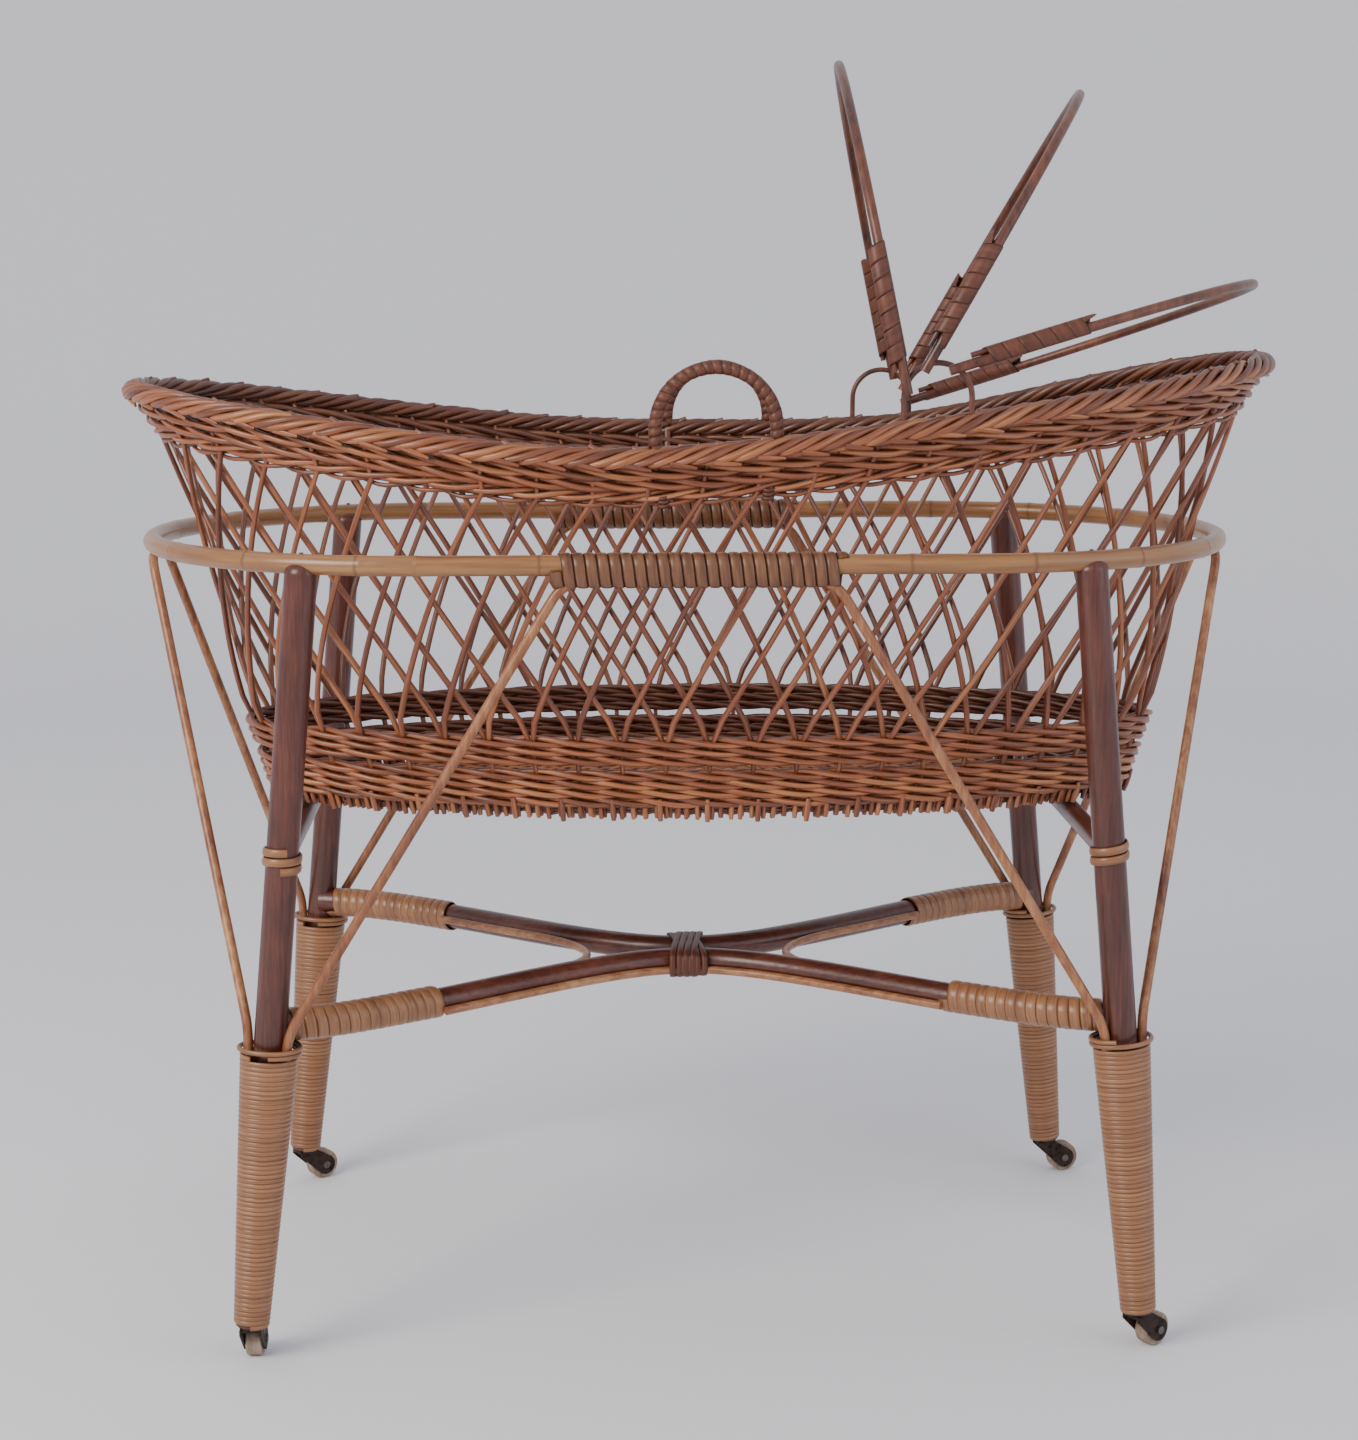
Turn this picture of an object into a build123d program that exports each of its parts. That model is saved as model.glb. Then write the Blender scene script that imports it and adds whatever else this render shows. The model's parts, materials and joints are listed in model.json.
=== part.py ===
from build123d import *
from math import atan2, cos, degrees, exp, hypot, pi, radians, sin
import os

os.makedirs("parts", exist_ok=True)

# A wicker bassinet on a rattan stand. Millimetres, +Z up, head end toward +X, front toward -Y.
# The origin is on the floor under the middle of the basket.

# Basket: an oval of woven willow whose rim sweeps up toward both ends.
RIM_HALF_LENGTH = 493.0     # outer edge of the plaited border
RIM_HALF_WIDTH = 242.0
RIM_LOW_HEIGHT = 743.0      # top of the border at its lowest point
RIM_LOW_X = -80.0           # where that lowest point is
RIM_SLOPE = 0.15            # how fast the border climbs toward each end
RIM_ROUND = 120.0           # how softly it turns there
BACK_DIP = 26.0             # the back edge has sunk this much beside the hood
BACK_DIP_X = 210.0
BACK_DIP_REACH = 190.0
BORDER_DEPTH = 16.0
BORDER_WIDTH = 22.0
BAND_DEPTH = 42.0           # border and upper band together
END_FLARE = 0.645           # outward lean of the upper band at the ends
SIDE_FLARE = 0.445          # and at the sides
WALL = 14.0                 # thickness of a woven wall: weavers on both sides of the stakes
LOWER_TOP = 500.0           # top of the lower woven band
LOWER_HALF_LENGTH = 396.0
LOWER_HALF_WIDTH = 150.0
BASE_HALF_LENGTH = 377.0
BASE_HALF_WIDTH = 141.0
BASE_BORDER_DEPTH = 13.0
BASE_MAT = 9.0
BASE_STICK = 6.5
BASE_STICK_COUNT = 7
END_BOW = 8.5               # the end walls bow inward by this much half way up

# Open lattice: crossed stakes in two layers.
STAKE_ROD = 5.0
STAKE_COUNT = 48
STAKE_SHIFT = 2.75          # spacings that a stake leans over on its way up
STAKE_LAYER_GAP = 1.6       # clear distance between the two layers, level with the floor
STAKE_BURIED = 6.0          # length held inside each woven band

# Handles.
HANDLE_REACH = 47.0         # half the distance between a handle's feet
HANDLE_X = {"front": 0.0, "back": 25.0}
HANDLE_RISE = {"front": 57.9, "back": 50.0}   # top of the core's arch above the border
HANDLE_CORE = 7.0
HANDLE_OUTSIDE = 11.0
HANDLE_TAIL = 20.0
HANDLE_FOOT_BEND = 20.0
HANDLE_ARCH = 46.9          # radius of the bend over the top, just under the reach
HANDLE_WRAP_GAP = 1.0       # between the border and the lower end of the winding

# Hood: two cane loops in the border, and three hoops that pivot on them.
LOOP_CANE = 4.6
LOOP_RADIUS = 26.5
LOOP_FRONT_X = 172.5
LOOP_BACK_X = 178.0
LOOP_Y = 216.0
LOOP_FOOT = 14.0            # depth of a loop's foot in the border
LOOP_RISE = 14.9            # from the border's top beside a loop to the centre of its arch
HOOP_ROD = 8.0
EYE_CANE = 3.2
EYE_GAP = 0.5               # clear distance between a loop and the hoop legs beside it
LEG_BEYOND = 7.0            # a hoop's legs end this far past the loop
SPLINT_ROD = 4.5            # thinner rod that doubles each leg
SPLINT_START = 12.0
BINDING_START = 20.0
BINDING_END = 108.0
BINDING_CANE = 1.5
EYE_TURN = 9.0
EYE_TOP = 30.0
EYE_SLOPE = 12.0            # length over which an eye crosses to its leg
EYE_BEND = 6.0
SPLINT_GAP = 0.2            # clear distance between a hoop's doubled rods
# name: angle along the front loop, angle along the back loop, elevation, length to the crown
HOOPS = {
    "high": (160.0, 66.0, 101.8, 265.4),
    "mid": (107.0, 30.0, 60.2, 267.9),
    "low": (56.0, -5.0, 17.0, 281.8),
}

# Stand: the basket hangs a little toward the head end of it.
STAND_X = -13.0
RING_HEIGHT = 653.0
RING_ROD = 16.0
RING_END_GAP = 3.0          # between the ring and the basket at the head end
RING_SIDE_GAP = 22.0        # and along the sides
LEG_POLE = 26.0
LEG_FLOOR_X = 363.0         # leg axis at its foot, from the stand's centre
LEG_FLOOR_Y = 219.0
LEG_TOP_X = 308.0           # leg axis where it meets the ring
LEG_DOME = 9.0
LEG_ABOVE_RING = 1.0        # the coped leg top, above the ring's axis
FOOT_WRAP_RADIUS = 15.0
KNUCKLE_WRAP_LONG = 24.0    # half width of the wrapping at the knuckle, along the stand
KNUCKLE_WRAP_SHORT = 20.0
KNUCKLE_HEIGHT = 267.5      # top of the knuckle tie
KNUCKLE_TIE = 7.5
TIE_CANE = 2.5
BRACE_ROD = 8.0
BRACE_TURN = 32.0           # the side braces lie this far round the legs, toward the outside
BRACE_TAIL = 24.0           # length of a brace end under the leg wrapping
BRACE_STRAIGHT = 10.0
BRACE_GAP = 0.05            # between a brace and the pole or ring that it lies against
END_BRACE_GAP = 0.6         # between the top of an end brace and the ring
SIDE_BRACE_TOP_X = 105.0
SIDE_BRACE_BEND = 30.0
KNUCKLE_BEND = 60.0
END_BRACE_TOP_Y = 38.0
END_BRACE_BEND = 24.0
RING_BINDING_X = 112.0      # half length of the binding on each side rail
RING_BINDING_CANE = 2.4
CRADLE_BAR = 18.0
CRADLE_HEIGHT = 419.0
CRADLE_TIE_CANE = 3.0
CRADLE_TIE = 23.0           # height of the tie, a little more than the bar
STRETCHER_BAR = 22.0
STRETCHER_HEIGHT = 281.5
STRETCHER_BOW = ((214.0, 147.0), (100.0, 62.0), (0.0, 21.0))
STRETCHER_END_Y = 213.0
STRETCHER_SLEEVE_X = 214.0  # where the cane sleeve on each end stops
STRETCHER_SLEEVE = 3.0
CROTCH_ROD = 7.0
CROTCH_BEND_X = 88.0
CROTCH_GAP = 0.3
LASHING_X = 15.0
LASHING_CANE = 3.0
OUTER_CROTCH_DROP = 5.0     # the outer rods lie a little below the middle of the bars
CROTCH_MARGIN = 0.002       # share of a bar left free between its rod and its sleeve
CROTCH_RUN = 30.0           # from the U bend to where the inner rod meets the bar
CROTCH_END = 1.0            # from the inner rod's end to the sleeve
SECTION_EASE = 0.1          # keeps a winding's rounded corners under half its width
BASKET_GAP = 0.3            # between the basket's base and the bars it rests on

# Casters.
WHEEL_RADIUS = 14.0
WHEEL_WIDTH = 13.0
WHEEL_EDGE = 1.2
WHEEL_BORE_GAP = 0.06
TRAIL = 18.0
AXLE_RADIUS = 2.0
AXLE_HEAD_RADIUS = 3.4
AXLE_HEAD = 1.4
CHEEK_GAP = 0.6             # between the wheel's side and a fork cheek
CHEEK = 1.8
CHEEK_RADIUS = 9.5
CROWN_GAP = 0.6
CROWN = 2.2
CROWN_HALF = 9.0
SWIVEL_PIN_RADIUS = 3.0
SWIVEL_PIN_LENGTH = 24.0
SWIVEL_PIN_GAP = 0.05
SOCKET_GAP = 0.4
SOCKET_FLANGE = 2.0
SOCKET_FLANGE_RADIUS = 10.5
SOCKET_RADIUS = 5.0
NAIL_RADIUS = 1.6
NAIL_PROUD = 1.0
# corner: side along X, side along Y, way the wheel trails, degrees from +X toward +Y
CASTERS = {
    "front_left": (-1, -1, 88.0),
    "front_right": (1, -1, 38.0),
    "back_left": (-1, 1, 35.0),
    "back_right": (1, 1, 12.0),
}
SIDES = {"front": -1, "back": 1}
ENDS = {"foot": -1, "head": 1}

UP = Vector(0, 0, 1)


def finish_piece(piece, label):
    """Names a finished piece, writes its file and says how big it came out."""
    piece.part.label = label
    export_step(piece.part, f"parts/{label}.step")
    print(f"{label}: {len(piece.part.solids())} solids, {piece.part.volume:.0f} mm3")


# Basket outline ---------------------------------------------------------------

def rim_top(x, y=-RIM_HALF_WIDTH):
    """Height of the border's top edge at a place along and across the basket."""
    front = RIM_LOW_HEIGHT + RIM_SLOPE * (hypot(x - RIM_LOW_X, RIM_ROUND) - RIM_ROUND)
    across = (y + RIM_HALF_WIDTH) / (2 * RIM_HALF_WIDTH)
    return front - BACK_DIP * exp(-((x - BACK_DIP_X) / BACK_DIP_REACH) ** 2) * across


RIM_TILT = (rim_top(RIM_HALF_LENGTH) - rim_top(-RIM_HALF_LENGTH)) / (2 * RIM_HALF_LENGTH)
END_HEIGHT = (rim_top(RIM_HALF_LENGTH) + rim_top(-RIM_HALF_LENGTH)) / 2
SIDE_HEIGHT = rim_top(0)


def cone_half_length(level):
    """Half length of the upper band's outer face, at a level above the tilted floor plane."""
    return RIM_HALF_LENGTH - END_FLARE * (END_HEIGHT - level)


def cone_half_width(level):
    """Half width of the upper band's outer face at that level."""
    return RIM_HALF_WIDTH - SIDE_FLARE * (SIDE_HEIGHT - level)


def rim_point(angle, drop, inset):
    """Point on the upper band's wall: round the oval, below the top edge, and in from its face."""
    level = SIDE_HEIGHT - drop
    for _ in range(12):
        x = (cone_half_length(level) - inset) * cos(angle)
        y = (cone_half_width(level) - inset) * sin(angle)
        level = rim_top(x, y) - RIM_TILT * x - drop
    return Vector(x, y, rim_top(x, y) - drop)


def open_wall_share(height, band_bottom):
    """How far up the open lattice a height is, from 0 to 1."""
    return (height - LOWER_TOP) / (band_bottom - LOWER_TOP)


def lattice_half_length(height):
    """Half length of the open lattice, bowed in at the ends."""
    share = open_wall_share(height, END_HEIGHT - BAND_DEPTH)
    straight = LOWER_HALF_LENGTH + share * (cone_half_length(END_HEIGHT - BAND_DEPTH) - LOWER_HALF_LENGTH)
    return straight - END_BOW * 4 * share * (1 - share)


def lattice_half_width(height):
    """Half width of the open lattice."""
    share = open_wall_share(height, SIDE_HEIGHT - BAND_DEPTH)
    return LOWER_HALF_WIDTH + share * (cone_half_width(SIDE_HEIGHT - BAND_DEPTH) - LOWER_HALF_WIDTH)


BASE_BOTTOM = CRADLE_HEIGHT + CRADLE_BAR / 2 + BASKET_GAP
BASE_TOP = BASE_BOTTOM + BASE_BORDER_DEPTH
RING_HALF_LENGTH = lattice_half_length(RING_HEIGHT) + RING_END_GAP + RING_ROD / 2 - STAND_X
RING_HALF_WIDTH = lattice_half_width(RING_HEIGHT) + RING_SIDE_GAP + RING_ROD / 2
RING_STRAIGHT = RING_HALF_LENGTH - RING_HALF_WIDTH


def oval_wall(levels, wall, tilt=0.0):
    """Closed oval wall through two levels, each a height, a half length and a half width."""
    with BuildPart() as part:
        for thickness, mode in ((0.0, Mode.ADD), (wall, Mode.SUBTRACT)):
            for height, half_length, half_width in levels:
                plane = Plane(origin=(0, 0, height), x_dir=(1, 0, tilt), z_dir=(-tilt, 0, 1))
                with BuildSketch(plane):
                    Ellipse(half_length - thickness, half_width - thickness)
            loft(mode=mode)
    return part


def sweep_slice(top_drop, bottom_drop):
    """Slab between two surfaces that follow the border's sweep, wide enough for the whole basket."""
    reach = RIM_HALF_LENGTH + BORDER_WIDTH
    stations = [reach * i / 8 for i in range(-8, 9)]
    with BuildPart() as slab:
        for side_y in (-1, 1):
            y = side_y * (RIM_HALF_WIDTH + BORDER_WIDTH)
            with BuildSketch(Plane(origin=(0, y, 0), x_dir=(1, 0, 0), z_dir=(0, -1, 0))):
                with BuildLine():
                    top = Spline(*[(x, rim_top(x, y) - top_drop) for x in stations])
                    bottom = Spline(*[(x, rim_top(x, y) - bottom_drop) for x in stations])
                    Line(top @ 0, bottom @ 0)
                    Line(top @ 1, bottom @ 1)
                make_face()
        loft(ruled=True)
    return slab


def sloped_band(top_drop, bottom_drop, wall):
    """Part of the upper wall between two depths below the border's top."""
    low = SIDE_HEIGHT - bottom_drop - BAND_DEPTH
    high = END_HEIGHT + BAND_DEPTH
    levels = [(level, cone_half_length(level), cone_half_width(level)) for level in (low, high)]
    cone = oval_wall(levels, wall, tilt=RIM_TILT)
    slab = sweep_slice(top_drop, bottom_drop)
    with BuildPart() as band:
        add(cone.part)
        add(slab.part, mode=Mode.INTERSECT)
    return band


# Rods -------------------------------------------------------------------------

def round_rod(line, diameter):
    """Round rod whose centre follows a line or curve."""
    with BuildPart() as rod:
        with BuildSketch(Plane(origin=line @ 0, z_dir=line % 0)):
            Circle(diameter / 2)
        sweep(path=line)
    return rod


def straight_rods(pairs, diameter):
    """One straight rod for each pair of end points."""
    with BuildPart() as rods:
        for start, end in pairs:
            axis = Vector(*end) - Vector(*start)
            with BuildSketch(Plane(origin=start, z_dir=axis)):
                Circle(diameter / 2)
            extrude(amount=axis.length)
    return rods


def cut_away(piece, *others):
    """The piece with the room that other pieces take cut out of it."""
    with BuildPart() as cut:
        add(piece.part)
        for other in others:
            add(other.part, mode=Mode.SUBTRACT)
    return cut


def gather(pieces):
    """Several separate solids in one node."""
    with BuildPart() as group:
        for piece in pieces:
            add(piece.part)
    return group


# Stand: legs ------------------------------------------------------------------

WHEEL_TOP = 2 * WHEEL_RADIUS
CROWN_BOTTOM = WHEEL_TOP + CROWN_GAP
CROWN_TOP = CROWN_BOTTOM + CROWN
FLANGE_BOTTOM = CROWN_TOP + SOCKET_GAP
LEG_FOOT = FLANGE_BOTTOM + SOCKET_FLANGE
SOCKET_DEPTH = SWIVEL_PIN_LENGTH - SOCKET_GAP - SOCKET_FLANGE


def ring_width_at(x):
    """Half width of the ring's axis at a place along the stand."""
    past = max(abs(x) - RING_STRAIGHT, 0.0)
    return (RING_HALF_WIDTH ** 2 - past ** 2) ** 0.5


def leg_axis(side_x, side_y, height):
    """Point on a leg's axis, in the row frame."""
    share = (height - LEG_FOOT) / (RING_HEIGHT - LEG_FOOT)
    x = LEG_FLOOR_X + share * (LEG_TOP_X - LEG_FLOOR_X)
    y = LEG_FLOOR_Y + share * (ring_width_at(LEG_TOP_X) - LEG_FLOOR_Y)
    return Vector(STAND_X + side_x * x, side_y * y, height)


def ring_line():
    """Axis of the support ring: straight sides and round ends."""
    with BuildLine(Plane.XY.offset(RING_HEIGHT)) as line:
        ends = {}
        for name, side in ENDS.items():
            x = STAND_X + side * RING_STRAIGHT
            ends[name] = [(x, -RING_HALF_WIDTH), (x + side * RING_HALF_WIDTH, 0), (x, RING_HALF_WIDTH)]
            ThreePointArc(*ends[name])
        Line(ends["foot"][0], ends["head"][0])
        Line(ends["foot"][2], ends["head"][2])
    return line.wires()[0]


def leg(side_x, side_y, ring):
    """One pole, domed on top, coped round the ring and bored for the caster's socket."""
    foot = leg_axis(side_x, side_y, LEG_FOOT)
    top = leg_axis(side_x, side_y, RING_HEIGHT + LEG_ABOVE_RING)
    axis = top - foot
    with BuildPart() as pole:
        with BuildSketch(Plane(origin=foot, z_dir=axis)):
            Circle(LEG_POLE / 2)
        extrude(amount=axis.length)
        fillet(pole.faces().sort_by(Axis.Z)[-1].edges(), LEG_DOME)
        with BuildSketch(Plane.XY.offset(LEG_FOOT - LEG_POLE)):
            with Locations((foot.X, foot.Y)):
                Circle(LEG_POLE)
        extrude(amount=LEG_POLE, mode=Mode.SUBTRACT)
        with BuildSketch(Plane.XY.offset(LEG_FOOT - LEG_POLE)):
            with Locations((foot.X, foot.Y)):
                Circle(SOCKET_RADIUS)
        extrude(amount=LEG_POLE + SOCKET_DEPTH, mode=Mode.SUBTRACT)
        add(ring.part, mode=Mode.SUBTRACT)
    return pole


def leg_section(side_x, side_y, height, half_long, half_short):
    """Oval section round a leg's axis, level with the floor."""
    centre = leg_axis(side_x, side_y, height)
    with BuildSketch(Plane.XY.offset(height)) as section:
        with Locations((centre.X, centre.Y)):
            Ellipse(half_long, half_short)
    return section.sketch


def leg_wrap(side_x, side_y, inside):
    """Cane wound on the lower leg, over the ends of the braces."""
    top = KNUCKLE_HEIGHT - KNUCKLE_TIE
    with BuildPart() as wrap:
        add(leg_section(side_x, side_y, LEG_FOOT, FOOT_WRAP_RADIUS, FOOT_WRAP_RADIUS))
        add(leg_section(side_x, side_y, top, KNUCKLE_WRAP_LONG, KNUCKLE_WRAP_SHORT))
        loft()
        add(leg_section(side_x, side_y, LEG_FOOT, 2 * SOCKET_RADIUS, 2 * SOCKET_RADIUS))
        extrude(amount=2 * SOCKET_DEPTH, mode=Mode.SUBTRACT)
        for piece in inside:
            add(piece.part, mode=Mode.SUBTRACT)
    return wrap


def leg_tie(side_x, side_y, bottom, height, half_long, half_short, inside):
    """Short band of cane tied round a leg and what lies against it."""
    with BuildPart() as tie:
        add(leg_section(side_x, side_y, bottom, half_long, half_short))
        extrude(amount=height)
        for piece in inside:
            add(piece.part, mode=Mode.SUBTRACT)
    return tie


# Stand: braces, bars and bindings -----------------------------------------------

def beside_leg(side_x, side_y, height, turn, inner):
    """Axis of a brace rod that lies against a leg."""
    reach = (LEG_POLE + BRACE_ROD) / 2 + BRACE_GAP
    toward = -side_x if inner else side_x
    offset = Vector(toward * reach * cos(radians(turn)), side_y * reach * sin(radians(turn)), 0)
    return leg_axis(side_x, side_y, height) + offset


def side_brace(side_y):
    """One long rod: up from a knuckle, along under the ring and down to the other knuckle."""
    tail = KNUCKLE_HEIGHT - KNUCKLE_TIE - BRACE_TAIL
    under = RING_HEIGHT - (RING_ROD + BRACE_ROD) / 2 - BRACE_GAP
    points = []
    for side_x in (-1, 1):
        low = beside_leg(side_x, side_y, tail, BRACE_TURN, True)
        knee = beside_leg(side_x, side_y, KNUCKLE_HEIGHT + BRACE_STRAIGHT, BRACE_TURN, True)
        top = Vector(STAND_X + side_x * SIDE_BRACE_TOP_X, side_y * RING_HALF_WIDTH, under)
        points.append([low, knee, top])
    route = points[0] + points[1][::-1]
    bends = [KNUCKLE_BEND, SIDE_BRACE_BEND, SIDE_BRACE_BEND, KNUCKLE_BEND]
    with BuildLine() as line:
        FilletPolyline(*route, radius=bends)
    return round_rod(line.wires()[0], BRACE_ROD)


def end_brace(side_x):
    """One rod bent over at the top: from both knuckles of an end up to the ring."""
    tail = KNUCKLE_HEIGHT - KNUCKLE_TIE - BRACE_TAIL
    under = RING_HEIGHT - (RING_ROD + BRACE_ROD) / 2 - END_BRACE_GAP
    past = RING_HALF_WIDTH - (RING_HALF_WIDTH ** 2 - END_BRACE_TOP_Y ** 2) ** 0.5
    top_x = STAND_X + side_x * (RING_HALF_LENGTH - past / 2)
    halves = []
    for side_y in (-1, 1):
        low = beside_leg(side_x, side_y, tail, 0, False)
        knee = beside_leg(side_x, side_y, KNUCKLE_HEIGHT + BRACE_STRAIGHT, 0, False)
        top = Vector(top_x, side_y * END_BRACE_TOP_Y, under)
        halves.append([low, knee, top])
    route = halves[0] + halves[1][::-1]
    bends = [KNUCKLE_BEND, END_BRACE_BEND, END_BRACE_BEND, KNUCKLE_BEND]
    with BuildLine() as line:
        FilletPolyline(*route, radius=bends)
    return round_rod(line.wires()[0], BRACE_ROD)


def ring_binding(side_y, inside):
    """Round cane wound over the ring and the side brace."""
    top = RING_HEIGHT + RING_ROD / 2 + RING_BINDING_CANE
    bottom = RING_HEIGHT - RING_ROD / 2 - BRACE_ROD - RING_BINDING_CANE
    half_width = RING_ROD / 2 + RING_BINDING_CANE
    start = Plane(origin=(STAND_X - RING_BINDING_X, side_y * RING_HALF_WIDTH, (top + bottom) / 2),
                  x_dir=(0, 1, 0), z_dir=(1, 0, 0))
    with BuildPart() as binding:
        with BuildSketch(start):
            RectangleRounded(2 * half_width, top - bottom, half_width - SECTION_EASE)
        extrude(amount=2 * RING_BINDING_X)
        for piece in inside:
            add(piece.part, mode=Mode.SUBTRACT)
    return binding


def cradle_bar(side_x, legs):
    """Bar that carries one end of the basket, coped to two legs."""
    front = leg_axis(side_x, -1, CRADLE_HEIGHT)
    back = leg_axis(side_x, 1, CRADLE_HEIGHT)
    bar = straight_rods([(front, back)], CRADLE_BAR)
    return cut_away(bar, *legs)


def stretcher_line(side_y):
    """Axis of a stretcher bar: bowed in toward the other bar at its middle."""
    end_x = abs(leg_axis(1, side_y, STRETCHER_HEIGHT).X - STAND_X)
    half = [(end_x, STRETCHER_END_Y)] + list(STRETCHER_BOW)
    right = [Vector(STAND_X + x, side_y * y, STRETCHER_HEIGHT) for x, y in half]
    left = [Vector(STAND_X - x, side_y * y, STRETCHER_HEIGHT) for x, y in half[:-1]]
    with BuildLine() as line:
        Spline(*(left + right[::-1]))
    return line.line


def stretcher_share(line, x):
    """Share of a stretcher's length at which it reaches a place along the stand."""
    low, high = 0.0, 1.0
    for _ in range(40):
        middle = (low + high) / 2
        if (line @ middle).X - STAND_X < x:
            low = middle
        else:
            high = middle
    return low


def beside_stretcher(line, share, side, lower=0.0):
    """Axis of a thin rod that lies against a stretcher bar, on the side that is asked for."""
    tangent = line % share
    normal = UP.cross(tangent).normalized() * side
    reach = (STRETCHER_BAR + CROTCH_ROD) / 2 + CROTCH_GAP
    across = (reach ** 2 - lower ** 2) ** 0.5
    return (line @ share) + normal * across - UP * lower


def stretcher_sleeve(line, side_x, side_y, inside):
    """Cane wound on the end of a stretcher bar, next to its leg."""
    edge = stretcher_share(line, side_x * STRETCHER_SLEEVE_X)
    low, high = (0.0, edge) if side_x < 0 else (edge, 1.0)
    with BuildPart() as sleeve:
        with BuildLine() as centre:
            Spline(*[line @ (low + (high - low) * i / 4) for i in range(5)])
        with BuildSketch(Plane(origin=centre.line @ 0, z_dir=centre.line % 0)):
            Circle(STRETCHER_BAR / 2 + STRETCHER_SLEEVE)
        sweep(path=centre.line)
        for piece in inside:
            add(piece.part, mode=Mode.SUBTRACT)
    return sleeve


def outer_crotch_rod(line, side_y):
    """Thin rod along the outside of a stretcher bar, between its two sleeves."""
    first = stretcher_share(line, -STRETCHER_SLEEVE_X) + CROTCH_MARGIN
    last = stretcher_share(line, STRETCHER_SLEEVE_X) - CROTCH_MARGIN
    shares = [first + (last - first) * i / 8 for i in range(9)]
    with BuildLine() as route:
        Spline(*[beside_stretcher(line, share, side_y, OUTER_CROTCH_DROP) for share in shares])
    return round_rod(route.line, CROTCH_ROD)


def inner_crotch_rod(lines, side_x):
    """Thin rod bent to a U in the crotch between the two bars, open toward an end."""
    halves = []
    for name, side_y in SIDES.items():
        line = lines[name]
        far = stretcher_share(line, side_x * (STRETCHER_SLEEVE_X - CROTCH_END))
        near = stretcher_share(line, side_x * (CROTCH_BEND_X + CROTCH_RUN))
        shares = [far + (near - far) * i / 3 for i in range(4)]
        halves.append([beside_stretcher(line, share, -side_y) for share in shares])
    bend = Vector(STAND_X + side_x * CROTCH_BEND_X, 0, STRETCHER_HEIGHT)
    with BuildLine() as route:
        Spline(*(halves[0] + [bend] + halves[1][::-1]))
    return round_rod(route.line, CROTCH_ROD)


def stretcher_lashing(inside):
    """Cane wound round both stretcher bars where they come together."""
    across = STRETCHER_BOW[-1][1] + STRETCHER_BAR / 2 + CROTCH_ROD + LASHING_CANE
    tall = STRETCHER_BAR / 2 + LASHING_CANE
    with BuildPart() as lashing:
        with BuildSketch(Plane(origin=(STAND_X - LASHING_X, 0, STRETCHER_HEIGHT),
                               x_dir=(0, 1, 0), z_dir=(1, 0, 0))):
            RectangleRounded(2 * across, 2 * tall, tall - SECTION_EASE)
        extrude(amount=2 * LASHING_X)
        for piece in inside:
            add(piece.part, mode=Mode.SUBTRACT)
    return lashing


def ring_nail(side_x, side_y, ring):
    """Nail through the ring into a leg's coped top."""
    top = leg_axis(side_x, side_y, RING_HEIGHT)
    with BuildPart() as nail:
        with BuildSketch(Plane.XY.offset(RING_HEIGHT + RING_ROD / 2 - NAIL_PROUD)):
            with Locations((top.X, top.Y)):
                Circle(NAIL_RADIUS)
        extrude(amount=2 * NAIL_PROUD)
        add(ring.part, mode=Mode.SUBTRACT)
    return nail


# Casters ------------------------------------------------------------------------

def caster_frame(corner):
    """Foot point, trailing direction and upright side plane of a caster."""
    side_x, side_y, heading = CASTERS[corner]
    foot = leg_axis(side_x, side_y, LEG_FOOT)
    trail = Vector(cos(radians(heading)), sin(radians(heading)), 0)
    side = Plane(origin=(foot.X, foot.Y, 0), x_dir=trail, z_dir=trail.cross(UP))
    return foot, trail, side


def caster_socket(corner):
    """Iron socket pressed into the leg, with a flange under the pole."""
    foot, _, _ = caster_frame(corner)
    with BuildPart() as socket:
        with BuildSketch(Plane.XY.offset(FLANGE_BOTTOM)):
            with Locations((foot.X, foot.Y)):
                Circle(SOCKET_FLANGE_RADIUS)
                Circle(SWIVEL_PIN_RADIUS + SWIVEL_PIN_GAP, mode=Mode.SUBTRACT)
        extrude(amount=SOCKET_FLANGE)
        with BuildSketch(Plane.XY.offset(LEG_FOOT)):
            with Locations((foot.X, foot.Y)):
                Circle(SOCKET_RADIUS)
                Circle(SWIVEL_PIN_RADIUS + SWIVEL_PIN_GAP, mode=Mode.SUBTRACT)
        extrude(amount=SOCKET_DEPTH)
    return socket


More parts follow.
